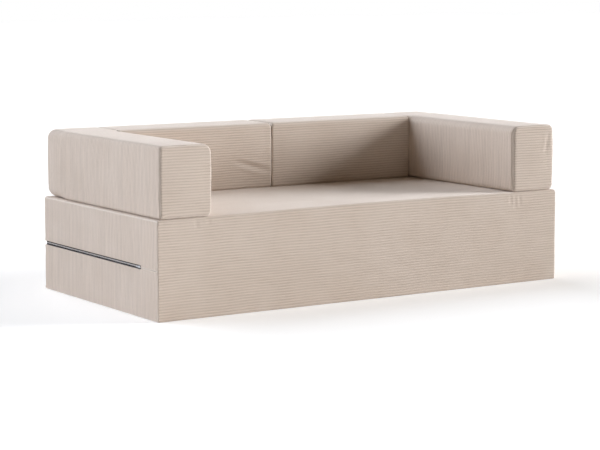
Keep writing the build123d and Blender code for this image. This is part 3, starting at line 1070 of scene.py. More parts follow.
class Lattice:
    """A smooth field of moves, kept on a grid of cells round a cushion."""

    SPREAD = 2.4

    def __init__(self, places: np.ndarray, moves: np.ndarray, cell: float) -> None:
        """Spreads the moves of scattered places over the cells near them.

        Args:
            places: the places.
            moves: the move of each place.
            cell: size of a cell.
        """
        self.cell = cell
        self.low = places.min(0) - 4 * cell
        counts = np.ceil((places.max(0) + 4 * cell - self.low) / cell).astype(int) + 2
        self.field = np.zeros((*counts, 3))
        weight = np.zeros(tuple(counts))
        at = (places - self.low) / cell
        base = np.floor(at).astype(int)
        for offset in np.ndindex(6, 6, 6):
            spot = base + np.array(offset) - 2
            share = np.exp(-((spot - at) ** 2).sum(1) / self.SPREAD)
            index = tuple(spot.T)
            np.add.at(weight, index, share)
            np.add.at(self.field, index, moves * share[:, None])
        self.field /= np.maximum(weight, 1e-6)[..., None]

    def at(self, places: np.ndarray) -> np.ndarray:
        """Moves at any places.

        Args:
            places: the places.

        Returns:
            The move of each place.
        """
        at = (places - self.low) / self.cell
        top = np.array(self.field.shape[:3]) - 2
        base = np.clip(np.floor(at).astype(int), 0, top)
        t = eased(at - base)
        total = np.zeros_like(places)
        for offset in np.ndindex(2, 2, 2):
            corner = np.array(offset)
            share = np.prod(np.where(corner == 1, t, 1 - t), axis=1)
            total += self.field[tuple((base + corner).T)] * share[:, None]
        return total


@dataclass(frozen=True)
class Filling:
    """How a foam block swells its cover: the cloth run and the largest move it may give."""

    voxel: float = 0.018
    pressure: float = 4.0
    swell: float = 0.003
    edge_pull: float = 0.25
    frames: int = 20
    quality: int = 6
    mass: float = 0.4
    stretch: float = 12.0
    shear: float = 4.0
    bend: float = 1.5
    full_swell_share: float = 0.98
    lattice_share: float = 1.2

    def cloth_run(self, copy: bpy.types.Object, held_below: float) -> tuple[np.ndarray, np.ndarray]:
        """Makes a coarse, even mesh of a cover and blows it up as cloth.

        Args:
            copy: a copy of the cover, which gets the coarse mesh.
            held_below: height under which the cloth is held.

        Returns:
            The places of its points before and after.
        """
        remesh = copy.modifiers.new("even", "REMESH")
        remesh.mode = "VOXEL"
        remesh.voxel_size = self.voxel
        graph = bpy.context.evaluated_depsgraph_get()
        even = bpy.data.meshes.new_from_object(copy.evaluated_get(graph))
        copy.modifiers.remove(remesh)
        copy.data = even
        before = vertex_values(even)
        pins = copy.vertex_groups.new(name="held")
        pins.add([int(i) for i in np.nonzero(before[:, 2] < held_below)[0]], 1.0, "REPLACE")
        cloth = copy.modifiers.new("swell", "CLOTH")
        settings = {
            "quality": self.quality, "mass": self.mass, "tension_stiffness": self.stretch,
            "compression_stiffness": self.stretch, "shear_stiffness": self.shear,
            "bending_stiffness": self.bend, "use_pressure": True,
            "uniform_pressure_force": self.pressure, "vertex_group_mass": "held",
        }
        for key, value in settings.items():
            setattr(cloth.settings, key, value)
        cloth.settings.effector_weights.gravity = 0.0
        cloth.collision_settings.use_collision = False
        cloth.collision_settings.use_self_collision = False
        cloth.point_cache.frame_start = 1
        cloth.point_cache.frame_end = self.frames
        scene = bpy.context.scene
        for number in range(1, self.frames + 1):
            scene.frame_set(number)
        graph = bpy.context.evaluated_depsgraph_get()
        after = vertex_values(copy.evaluated_get(graph).data)
        scene.frame_set(1)
        return before, after

    def swollen(self, name: str, mesh: bpy.types.Mesh, held_below: float) -> Lattice | None:
        """Runs the cloth on a coarse copy, and holds its moves within the largest that is allowed.

        Args:
            name: name for the copy.
            mesh: the cover's plain mesh.
            held_below: height under which the cloth is held.
        """
        copy = linked(name + "_swelling", mesh.copy())
        before, after = self.cloth_run(copy, held_below)
        even = copy.data
        bpy.data.objects.remove(copy)
        moves = after - before
        size = np.linalg.norm(moves, axis=1)
        LOG.info("%s: cloth of %d points moved up to %.1f mm", name, len(size), size.max() * 1000)
        moves *= self.swell / max(float(np.quantile(size, self.full_swell_share)), 1e-6)
        held = np.maximum(np.linalg.norm(moves, axis=1) / self.swell, 1.0)
        moves /= held[:, None]
        normals = vertex_values(even, "normal")
        inward = np.minimum((moves * normals).sum(1), 0.0)
        moves -= normals * (inward * (1 - self.edge_pull))[:, None]
        return Lattice(before, moves, self.voxel * self.lattice_share)


def outwards(mesh: bpy.types.Mesh) -> None:
    """Turns every face of a closed mesh outwards.

    Args:
        mesh: the mesh, which is changed.
    """
    turned = bmesh.new()
    turned.from_mesh(mesh)
    bmesh.ops.recalc_face_normals(turned, faces=turned.faces)
    turned.to_mesh(mesh)
    turned.free()


def vertex_values(mesh: bpy.types.Mesh, key: str = "co") -> np.ndarray:
    """Reads a mesh.

    Args:
        mesh: the mesh.
        key: co for its vertices' places, normal for their normals.

    Returns:
        Three numbers for each vertex.
    """
    values = np.zeros(len(mesh.vertices) * 3)
    mesh.vertices.foreach_get(key, values)
    return values.reshape(-1, 3)


@dataclass(frozen=True)
class Crease:
    """A soft fold pressed into a cover between two places."""

    start: Place
    stop: Place
    inward: Place
    depth: float
    width: float
    taper: float = 0.6
    shoulder: float = 0.45
    shoulder_place: float = 1.8
    shoulder_width: float = 0.8

    def press(self, places: np.ndarray) -> np.ndarray:
        """Presses the fold.

        Args:
            places: places on the cover.

        Returns:
            The move of each place, which is outwards on the fold's shoulders.
        """
        start, stop = np.array(self.start), np.array(self.stop)
        line = stop - start
        t = ((places - start) @ line) / (line @ line)
        nearest = start + np.clip(t, 0, 1)[:, None] * line
        distance = np.linalg.norm(places - nearest, axis=1) / self.width
        taper = np.sin(np.clip(t, 0, 1) * math.pi) ** self.taper
        shoulder = np.exp(-((distance - self.shoulder_place) / self.shoulder_width) ** 2)
        valley = np.exp(-distance ** 2) - self.shoulder * shoulder
        return np.outer(valley * taper * self.depth, np.array(self.inward))


def bulge(
    places: np.ndarray, low: np.ndarray, high: np.ndarray, crowns: Sequence[float], way: Way
) -> np.ndarray:
    """Crowns of a block's faces.

    Args:
        places: places on the block.
        low: the block's lowest corner.
        high: the block's highest corner.
        crowns: bulge of the left, right, front, rear and top faces.
        way: the axis along which the block lies.

    Returns:
        The move of each place.
    """
    u = (places - (low + high) / 2) / ((high - low) / 2)
    fall = 1 - np.clip(u, -1, 1) ** 2
    left, right, front, rear, top = crowns
    moves = np.zeros_like(places)
    moves[:, 0] = np.where(u[:, 0] > 0, right, left) * u[:, 0] * fall[:, 2]
    moves[:, 1] = np.where(u[:, 1] > 0, rear, front) * u[:, 1] * fall[:, 2]
    moves[:, 2] = top * np.maximum(u[:, 2], 0) * fall[:, 1 - way.value]
    return moves


def geometry_tree(
    name: str, sockets: dict[str, str], result: str
) -> tuple[bpy.types.GeometryNodeTree, Nodes, dict[str, Value]]:
    """Opens a geometry node tree.

    Args:
        name: the tree's name.
        sockets: the kind of each input by its name.
        result: the output's name.

    Returns:
        The tree, its nodes and its inputs by name.
    """
    tree = bpy.data.node_groups.new(name, "GeometryNodeTree")
    for title, kind in sockets.items():
        tree.interface.new_socket(title, in_out="INPUT", socket_type="NodeSocket" + kind)
    tree.interface.new_socket(result, in_out="OUTPUT", socket_type="NodeSocketGeometry")
    nodes = Nodes(tree)
    given = nodes.add("NodeGroupInput").outputs
    return tree, nodes, {title: Value(nodes, given[title]) for title in sockets}


def close_tree(nodes: Nodes, shape: Value, material: Value) -> None:
    """Ends a geometry node tree with a plain, smooth mesh in one material.

    Args:
        nodes: the tree's nodes.
        shape: what it has made.
        material: the material.
    """
    for kind in ("GeometryNodeRealizeInstances", "GeometryNodeSetShadeSmooth"):
        shape = nodes.value(kind, None, {"Geometry": shape})
    clad = nodes.value("GeometryNodeSetMaterial", None, {"Geometry": shape, "Material": material})
    nodes.add("NodeGroupOutput", None, {0: clad})


def rib_tree() -> bpy.types.GeometryNodeTree:
    """Geometry nodes that raise corduroy ribs on a cover that carries rib and fade.

    Returns:
        The tree. It stores the ribs' height as wale, which is 1 in a seam.
    """
    sockets = {"Cover": "Geometry"}
    sockets |= {name: "Float" for name in ("Pitch", "Height", "Fullness", "Wander", "Seed")}
    tree, nodes, given = geometry_tree("corduroy_ribs", sockets | {"Cloth": "Material"}, "Cover")
    rib, fade = (
        nodes.value("GeometryNodeInputNamedAttribute", {"data_type": "FLOAT"}, {"Name": name})
        for name in ("rib", "fade")
    )
    place = nodes.value("GeometryNodeInputPosition")
    sways = []
    for scale, detail, share in ((7.0, 2.0, 2.0), (45.0, 1.0, 0.5)):
        inputs = {"Vector": place, "W": given["Seed"], "Scale": scale, "Detail": detail}
        noise = nodes.value("ShaderNodeTexNoise", {"noise_dimensions": "4D"}, inputs)
        sways.append((noise - 0.5) * given["Wander"] * share)
    turns = (rib + (sways[0] + sways[1])) / given["Pitch"] * math.pi
    wave = turns.math("COSINE").math("ABSOLUTE") ** given["Fullness"]
    level = wave * fade + (1.0 - fade) * SEAM_LEVEL
    inputs = {0: nodes.value("GeometryNodeInputNormal"), "Scale": (level - 1.0) * given["Height"]}
    offset = nodes.value("ShaderNodeVectorMath", {"operation": "SCALE"}, inputs)
    kept = nodes.value(
        "GeometryNodeStoreNamedAttribute", {"data_type": "FLOAT", "domain": "POINT"},
        {"Geometry": given["Cover"], "Name": "wale", "Value": 1.0 - (1.0 - wave) * fade},
    )
    raised = nodes.value("GeometryNodeSetPosition", None, {"Geometry": kept, "Offset": offset})
    close_tree(nodes, raised, given["Cloth"])
    return tree


def tooth_tree() -> bpy.types.GeometryNodeTree:
    """Geometry nodes that set coil teeth along the line of a zip's row.

    Returns:
        The tree.
    """
    sockets = {"Line": "Geometry", "Pitch": "Float", "Tooth Size": "Vector", "Plastic": "Material"}
    tree, nodes, given = geometry_tree("coil_teeth", sockets, "Teeth")
    inputs = {"Curve": given["Line"], "Length": given["Pitch"]}
    spaced = nodes.value("GeometryNodeResampleCurve", {"mode": "LENGTH"}, inputs)
    ball = nodes.value("GeometryNodeMeshUVSphere", None, {"Segments": 8, "Rings": 4, "Radius": 0.5})
    tangent = nodes.value("GeometryNodeInputTangent")
    turned = nodes.value("FunctionNodeAlignRotationToVector", {"axis": "X"}, {"Vector": tangent})
    placed = nodes.value("GeometryNodeInstanceOnPoints", None, {
        "Points": spaced, "Instance": ball, "Rotation": turned, "Scale": given["Tooth Size"],
    })
    close_tree(nodes, placed, given["Plastic"])
    return tree


def grown(
    obj: bpy.types.Object, tree: bpy.types.GeometryNodeTree, inputs: dict[str, object]
) -> bpy.types.Object:
    """Runs a geometry node tree on an object and keeps the result as a plain mesh.

    Args:
        obj: the object, which is replaced.
        tree: the node tree.
        inputs: the tree's inputs by name.

    Returns:
        A new object of the same name with the result.
    """
    modifier = obj.modifiers.new(tree.name, "NODES")
    modifier.node_group = tree
    for item in tree.interface.items_tree:
        if item.in_out == "INPUT" and item.name in inputs:
            modifier[item.identifier] = inputs[item.name]
    graph = bpy.context.evaluated_depsgraph_get()
    mesh = bpy.data.meshes.new_from_object(obj.evaluated_get(graph))
    name = obj.name
    obj.modifiers.remove(modifier)
    bpy.data.objects.remove(obj)
    return linked(name, mesh)


def linked(name: str, data: bpy.types.ID) -> bpy.types.Object:
    """A new object in the scene.

    Args:
        name: the object's name.
        data: its mesh, curve, camera or light.

    Returns:
        The object.
    """
    obj = bpy.data.objects.new(name, data)
    bpy.context.scene.collection.objects.link(obj)
    return obj


def tie(
    obj: bpy.types.Object, body: str, nodes: Sequence[str]
) -> bpy.types.Object:
    """Attaches a finished piece to its body and hides the CAD nodes that it stands for.

    Args:
        obj: the piece.
        body: the body that it rides.
        nodes: the CAD nodes that it replaces.

    Returns:
        The piece.
    """
    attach(obj, body)
    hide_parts(*nodes)
    LOG.info("%s: %d faces", obj.name, len(obj.data.polygons))
    return obj


def poly_curve(name: str, lines: Sequence[Sequence[Place]]) -> bpy.types.Curve:
    """Curve made of straight pieces.

    Args:
        name: the curve's name.
        lines: the places along each line.

    Returns:
        The curve.
    """
    curve = bpy.data.curves.new(name, "CURVE")
    curve.dimensions = "3D"
    for places in lines:
        spline = curve.splines.new("POLY")
        spline.points.add(len(places) - 1)
        for point, place in zip(spline.points, places):
            point.co = (*place, 1.0)
    return curve


@dataclass
class Finishes:
    """Every finish of the sofa bed, made once."""

    by_slot: dict[str, bpy.types.Material] = field(init=False)
    corduroy: bpy.types.Material = field(init=False)
    ribs: bpy.types.GeometryNodeTree = field(init=False)
    teeth: bpy.types.GeometryNodeTree = field(init=False)

    def __post_init__(self) -> None:
        """Builds the shared materials and node trees."""
        self.ribs = rib_tree()
        self.teeth = tooth_tree()
        by_slot = {
            "corduroy": Corduroy(),
            "zip_coil": CoilPlastic("pale_coil", (0.98, 0.93, 0.90, 1.0)),
            "cover_zip_coil": CoilPlastic("beige_coil", (0.56, 0.48, 0.41, 1.0)),
            "foam": Foam("support_foam", (0.86, 0.83, 0.74, 1.0)),
            "comfort_foam": Foam("comfort_foam", (0.90, 0.89, 0.84, 1.0), 520.0),
            "wadding": Fleece("wadding", (0.95, 0.95, 0.94, 1.0), (0.8, 0.8, 0.79, 1.0), 120.0),
            "base_cloth": Weave(
                "anti_slip_cloth", (0.13, 0.13, 0.13, 1.0), (0.05, 0.05, 0.05, 1.0), 900.0
            ),
            "hook_and_loop": Fleece("strip_pile", (0.5, 0.43, 0.37, 1.0), (0.26, 0.21, 0.17, 1.0)),
            # near-black tape: partly the tape's own colour, partly painted shadow of the slit round
            # it
            "zip_tape": Weave(
                "black_tape_and_slit_shadow", (0.050, 0.044, 0.046, 1.0), (0.018, 0.016, 0.017, 1.0), 4200.0, 0.8
            ),
            "cover_zip_tape": Weave(
                "beige_tape", (0.6, 0.52, 0.45, 1.0), (0.4, 0.33, 0.28, 1.0), 4200.0, 0.8
            ),
            "zip_metal": CastMetal("bright_metal", (0.78, 0.78, 0.79, 1.0)),
            "cover_zip_metal": CastMetal("nickel_metal", (0.72, 0.71, 0.7, 1.0), 0.3),
        }
        self.by_slot = {slot: finish.material() for slot, finish in by_slot.items()}
        self.corduroy = self.by_slot["corduroy"]

    def ribbed(
        self, name: str, mesh: bpy.types.Mesh, wander: float, seed: float
    ) -> bpy.types.Object:
        """A corduroy piece with its ribs raised.

        Args:
            name: the piece's name.
            mesh: its plain mesh.
            wander: how far the ribs stray, in metres.
            seed: which wander it is.

        Returns:
            The piece.
        """
        return grown(linked(name, mesh), self.ribs, {
            "Pitch": RIB_PITCH, "Height": RIB_HEIGHT, "Fullness": RIB_FULLNESS, "Wander": wander,
            "Seed": seed, "Cloth": self.corduroy,
        })

    def toothed(
        self, name: str, line: bpy.types.Curve, pitch: float, tooth: Place, slot: str
    ) -> bpy.types.Object:
        """A zip's row of coil teeth.

        Args:
            name: the piece's name.
            line: the line that the teeth follow.
            pitch: distance from tooth to tooth.
            tooth: size of one tooth.
            slot: slot of the teeth's plastic.

        Returns:
            The piece.
        """
        inputs = {"Pitch": pitch, "Tooth Size": tooth, "Plastic": self.by_slot[slot]}
        return grown(linked(name, line), self.teeth, inputs)

    def dress_nodes(self) -> None:
        """Gives every kept CAD node its finish."""
        for part in frame["record"]["subparts"]:
            node = frame["nodes"][part["node"]]
            material = self.by_slot[part["material_slot"]]
            if not node.data.materials:
                node.data.materials.append(material)
            for spot in node.material_slots:
                spot.material = material


@dataclass
class Cover:
    """A padded corduroy cover: block, crowns, creases and the moves special to it."""

    name: str
    block: RoundedBlock
    crowns: tuple[float, float, float, float, float]
    body: str
    nodes: tuple[str, ...]
    filling: Filling
    seed: float
    fill: float = 0.9
    wander: float = 0.0012
    creases: tuple[Crease, ...] = ()
    held_height: float = 0.03
    free_height: float = 0.06
    special: Moves | None = None
    after_wrap: Callable[[Skin, np.ndarray, tuple], None] | None = None

    def build(self, finishes: Finishes) -> bpy.types.Object:
        """Builds, swells, creases and dresses the cover, and ties it to its body.

        Args:
            finishes: the finishes.

        Returns:
            The piece.
        """
        skin, rows, ring = self.block.wrap()
        if self.after_wrap is not None:
            self.after_wrap(skin, rows, ring)
        places = skin.places()
        low, high = np.array(self.block.low), np.array(self.block.high)
        places = places + bulge(places, low, high, self.crowns, self.block.way)
        plain = skin.mesh(self.name + "_plain", places)
        floor = self.block.low[2]
        swollen = self.filling.swollen(self.name, plain, floor + self.held_height)
        if swollen is not None:
            held = eased((places[:, 2] - floor) / self.free_height)[:, None]
            places = places + swollen.at(places) * held
        for crease in self.creases:
            places = places + crease.press(places)
        if self.special is not None:
            places = self.special(places)
        plain.vertices.foreach_set("co", places.astype(np.float32).ravel())
        plain.update()
        obj = finishes.ribbed(self.name, plain, self.wander, self.seed)
        return tie(obj, self.body, self.nodes)


def squared(
    places: np.ndarray, corner: Pair, ways: tuple[int, int], rounds: Pair, share: np.ndarray
) -> np.ndarray:
    """Moves that turn a long rounded edge along Y into a squarer one.

    Args:
        places: places on the block.
        corner: the edge's unrounded place in X and Z.
        ways: signs of the outward directions in X and Z.
        rounds: the edge's rounding, and the one that it gets.
        share: how much of the change each place gets.

    Returns:
        The move of each place.
    """
    radius, kept = rounds
    away = (places[:, ::2] - np.array(corner)) * np.array(ways) + radius
    length = np.maximum(np.linalg.norm(away, axis=1), 1e-9)
    way = np.abs(away) / length[:, None]
    flat = radius - kept
    straight = radius / np.maximum(way.max(1), 1e-9)
    along = flat * way.sum(1)
    curved = along + np.sqrt(np.maximum(along ** 2 - 2 * flat ** 2 + kept ** 2, 0))
    reach = np.where(way.min(1) * straight > flat, curved, straight)
    near = (away.min(1) > 0) & (length < radius * SQUARED_REACH)
    growth = (reach / radius - 1) * share * near
    moves = np.zeros_like(places)
    moves[:, ::2] = away * growth[:, None] * np.array(ways)
    return moves


def shrunk(block: RoundedBlock, inset: float) -> RoundedBlock:
    """The plain block that lies inset inside another.

    Args:
        block: the outer block.
        inset: distance between the two on every side.

    Returns:
        The inner block, with coarse faces.
    """
    rounds = {}
    for key in ("corners", "low_end", "high_end"):
        rounds[key] = tuple(
            max(radius - inset, LEAST_FILLING_ROUND) for radius in getattr(block, key)
        )
    return RoundedBlock(
        low=tuple(value + inset for value in block.low),
        high=tuple(value - inset for value in block.high),
        way=block.way,
        ribs=Ribs.ROUND,
        cap_ribs=block.cap_ribs,
        coarse=block.coarse,
        rib_step=block.coarse,
        **rounds,
    )


@dataclass
class Stuffing:
    """A foam block or wadding wrap inside a cover."""

    node: str
    body: str
    slot: str
    block: RoundedBlock
    special: Moves | None = None
    fill: float = 0.9

    def build(self, finishes: Finishes) -> bpy.types.Object:
        """Builds the block and ties it to its body.

        Args:
            finishes: the finishes.

        Returns:
            The piece.
        """
        skin = self.block.wrap()[0]
        places = skin.places()
        if self.special is not None:
            places = self.special(places)
        mesh = skin.mesh(self.node + "_block", places)
        mesh.shade_smooth()
        mesh.materials.append(finishes.by_slot[self.slot])
        obj = linked(mesh.name, mesh)
        return tie(obj, self.body, (self.node,))


def seat_rise(places: np.ndarray) -> np.ndarray:
    """Height that the seat's crown adds to the upper slab.

    Args:
        places: places on the slab.

    Returns:
        The rise, which is full at the top and none at the fold.
    """
    across = np.clip(1 - (places[:, 0] / BAY_HALF_WIDTH) ** 2, 0, 1)
    fall = eased((BACK_FRONT_Y - places[:, 1]) / SEAT_CROWN_FALL)
    level = eased((places[:, 2] - FOLD_Z) / (SEAT_Z - FOLD_Z))
    return SEAT_CROWN * across * fall * level


def plan_inset(places: np.ndarray) -> tuple[np.ndarray, np.ndarray]:
    """Where places lie inside the base's plan outline.

    Args:
        places: places on a slab.

    Returns:
        Their distance from the outline, and the way inwards from it.
    """
    half = np.array([HALF_WIDTH, HALF_DEPTH]) - REAR_CORNER
    over = np.abs(places[:, :2]) - half
    outside = np.maximum(over, 0)
    length = np.linalg.norm(outside, axis=1)
    depth = REAR_CORNER - length - np.minimum(over.max(1), 0)
    nearest = np.eye(2)[over.argmax(1)]
    rounded = outside / np.maximum(length, 1e-9)[:, None]
    way = np.where((length > 1e-9)[:, None], rounded, nearest)
    return depth, -way * np.where(places[:, :2] < 0, -1.0, 1.0)


def draw_in_slit(places: np.ndarray) -> np.ndarray:
    """Draws a slab's edge in along the slit where the closing zip sits.

    Args:
        places: places on the slab.

    Returns:
        The places with the slit's lips, its floor and the slot behind the coil rows.
    """
    height = np.abs(places[:, 2] - FOLD_Z)
    above = places[:, 2] > FOLD_Z
    land = np.where(above, UPPER_SLIT_LAND, LOWER_SLIT_LAND)
    radius = np.where(above, UPPER_SLIT_ROUND, LOWER_SLIT_ROUND)
    drop = np.clip(land + radius - height, 0, radius)
    depth = radius - np.sqrt(np.maximum(radius ** 2 - drop ** 2, 0))
    depth = np.where(height < land, SLIT_DEPTH + SLIT_SPARE, depth)
    depth = np.where(height < SLOT_HALF_WIDTH, SLIT_DEPTH + SLOT_DEPTH, depth)
    depth = depth * eased((places[:, 1] - SLIT_FRONT_Y + SLIT_END[0]) / SLIT_END[1])
    inset, way = plan_inset(places)
    share = np.clip(1 - inset / SLIT_REACH, 0, 1) * (inset < SLIT_REACH)
    moved = places.copy()
    moved[:, :2] += way * (depth * share)[:, None]
    return moved


@dataclass
class Base:
    """The two slabs of the base and the cloth along their front."""

    finishes: Finishes
    top_round: float = 0.012
    bottom_round: float = 0.004
    meeting_round: float = 0.0015
    front_corner: float = 0.005
    side_crown: float = 0.0012
    recess: float = 0.0028
    window_margin: float = 0.028
    recess_margin: float = 0.0021
    recess_fall: float = 0.008
    cloth_step: float = 0.0032
    floor_reach: float = 0.0005
    foam_margin: float = 0.0052
    foam_ends: Sides = (0.004, 0.015, 0.004, 0.006)
    wrap_over: float = 0.015
    cover_overlap: float = RIB_PITCH * 0.3
    wrinkles: tuple[Pair, ...] = (
        (0.745, 0.335), (0.768, 0.318), (0.792, 0.328), (-0.827, 0.350), (-0.772, 0.362),
    )
    slit_steps: tuple[float, ...] = (
        0.0, 0.0022, 0.0044, 0.0050, 0.0076, 0.0080, 0.0082, 0.0087, 0.0096, 0.0106, 0.0117,
        0.0130, 0.0145, 0.0165, 0.022, 0.030,
    )

    def block(self, low_z: float, high_z: float, lower: bool, upper: bool) -> RoundedBlock:
        """Block of the base between two heights.

        Args:
            low_z: height of its underside.
            high_z: height of its top.
            lower: whether it is rounded for the floor.
            upper: whether it is rounded for the seat.

        Returns:
            The block.
        """
        bottom = self.bottom_round if lower else self.meeting_round
        top = self.top_round if upper else self.meeting_round
        end = (bottom, REAR_CORNER, top, self.front_corner)
        return RoundedBlock(
            low=(self.side_crown - HALF_WIDTH, -HALF_DEPTH, low_z),
            high=(HALF_WIDTH - self.side_crown, HALF_DEPTH - self.side_crown, high_z),
            way=Way.ALONG_X,
            corners=(bottom, top, top, bottom),
            low_end=end,
            high_end=end,
            ribs=Ribs.LENGTHWISE,
            cap_ribs=CapRibs.UPRIGHT,
            coarse=0.024,
            band_sway=0.0010,
            cap_sway=0.0070,
        )

    def recess_front(self, skin: Skin, rows: np.ndarray, ring: tuple) -> None:
        """Sets a slab's cover back where the front cloth lies over it.

        Args:
            skin: the cover.
            rows: the numbers of the wrapped cloth's points.
            ring: the profile's samples.
        """
        distance = ring[3]
        covered = distance > self.cover_overlap - self.wrap_over
        columns = rows[:, covered].ravel()
        angle = np.clip(-distance[covered] / self.top_round, 0, math.pi / 2)
        angle = np.broadcast_to(angle, rows[:, covered].shape).ravel()
        end = HALF_WIDTH - self.side_crown - self.recess_margin
        along = np.abs(skin.points[0][columns, 0])
        depth = self.recess * eased((end - along) / self.recess_fall)
        skin.points[0][columns, 1] += depth * np.cos(angle)
        skin.points[0][columns, 2] -= depth * np.sin(angle)
        skin.fade[0][columns] = 0.0

    def shape(self, places: np.ndarray, rise_above: float | None, step: bool = False) -> np.ndarray:
        """Slit, seat crown and base cloth of a slab's cover or foam.

        Args:
            places: places on it.
            rise_above: height above which it gets the seat's crown, if it does.
            step: whether its underside is set back over the base cloth.

        Returns:
            The moved places.
        """
        moved = draw_in_slit(places)
        if rise_above is not None:
            moved[:, 2] += seat_rise(places) * (places[:, 2] > rise_above)
        if step:
            under = (places[:, 2] < self.floor_reach) & (plan_inset(places)[0] > self.window_margin)
            moved[under, 2] += self.cloth_step
        return moved

    def slabs(self) -> None:
        """Covers of the lower and the upper slab."""
        crowns = (self.side_crown, self.side_crown, 0.0, self.side_crown, 0.0)
        for half, low_z, high_z, segments, swell, seed in (
            ("lower", 0.0, SLAB_HEIGHT, (0.4, 4.0, 4.0, 2.0), 0.0012, 8.0),
            ("upper", FOLD_Z + SOFT_GAP / 2, SEAT_Z, (4.0, 4.0, 6.0, 2.0), 0.0015, 3.0),
        ):
            upper = half == "upper"
            block = self.block(low_z, high_z, not upper, upper)
            block.side_segments = segments
            if upper:
                block.cap_low_steps = self.slit_steps
            else:
                block.cap_high_steps = self.slit_steps
            cover = Cover(
                half + "_slab_cover", block, crowns, half + "_half", (half + "_cover",),
                Filling(voxel=0.03, swell=swell), seed,
                special=partial(self.shape, rise_above=0.0 if upper else None, step=not upper),
                after_wrap=self.recess_front,
            )
            cover.build(self.finishes)

    def foams(self) -> None:
        """Foam layers inside the two slabs."""
        layers = (
            ("lower_foam_core", "lower_half", "foam", 0.0045, 0.1553, None),
            ("lower_sleep_foam", "lower_half", "comfort_foam", 0.1557, SLAB_HEIGHT - 0.0045, None),
            ("upper_sleep_foam", "upper_half", "comfort_foam", FOLD_Z + 0.0046, 0.2406, None),
            ("upper_foam_core", "upper_half", "foam", 0.2410, 0.3436, None),
            ("seat_foam", "upper_half", "comfort_foam", 0.3440, SEAT_Z - 0.0045, 0.37),
        )
        margin = self.foam_margin
        for node, body, slot, low_z, high_z, rise_above in layers:
            block = RoundedBlock(
                low=(margin - HALF_WIDTH, margin - HALF_DEPTH, low_z),
                high=(HALF_WIDTH - margin, HALF_DEPTH - margin, high_z),
                way=Way.ALONG_X,
                corners=(0.004,) * 4,
                low_end=self.foam_ends,
                high_end=self.foam_ends,
                ribs=Ribs.ROUND,
                cap_ribs=CapRibs.UPRIGHT,
                coarse=0.03,
                rib_step=0.03,
            )
            special = partial(self.shape, rise_above=rise_above)
            Stuffing(node, body, slot, block, special).build(self.finishes)

    def front(self) -> bpy.types.Object:
        """The one cloth down the front of both slabs.

        Returns:
            The piece.
        """
        block = self.block(0.0, SEAT_Z, True, True)
        block.coarse = 0.008
        skin = Skin()
        ring = block.ring()
        rows = block.band(skin, ring)
        grid = rows[:, np.nonzero(ring[3] >= -self.wrap_over)[0]]
        skin.fill(grid, closed=False)
        places = skin.places()
        places[:, 2] += seat_rise(places)
        for x, low_z in self.wrinkles:
            start, stop = (x, -HALF_DEPTH, SEAT_Z - 0.004), (x + 0.004, -HALF_DEPTH, low_z)
            places = places + Crease(start, stop, (0, 1, 0), 0.0018, 0.007).press(places)
        used = np.unique(grid)
        remap = np.full(len(places), -1)
        remap[used] = np.arange(len(used))
        small = Skin(quads=[remap[skin.quads[0]]])
        small.add(places[used], skin.rib[0][used], skin.run[0][used], skin.fade[0][used])
        plain = small.mesh("front_cloth_plain", small.places())
        if vertex_values(plain, "normal")[:, 1].mean() > 0:
            plain.flip_normals()
        obj = self.finishes.ribbed("front_cloth", plain, 0.0010, 3.0)
        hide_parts("lower_front_panel", "upper_front_panel")
        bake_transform(obj)
        LOG.info("front_cloth: %d faces", len(obj.data.polygons))
        return obj


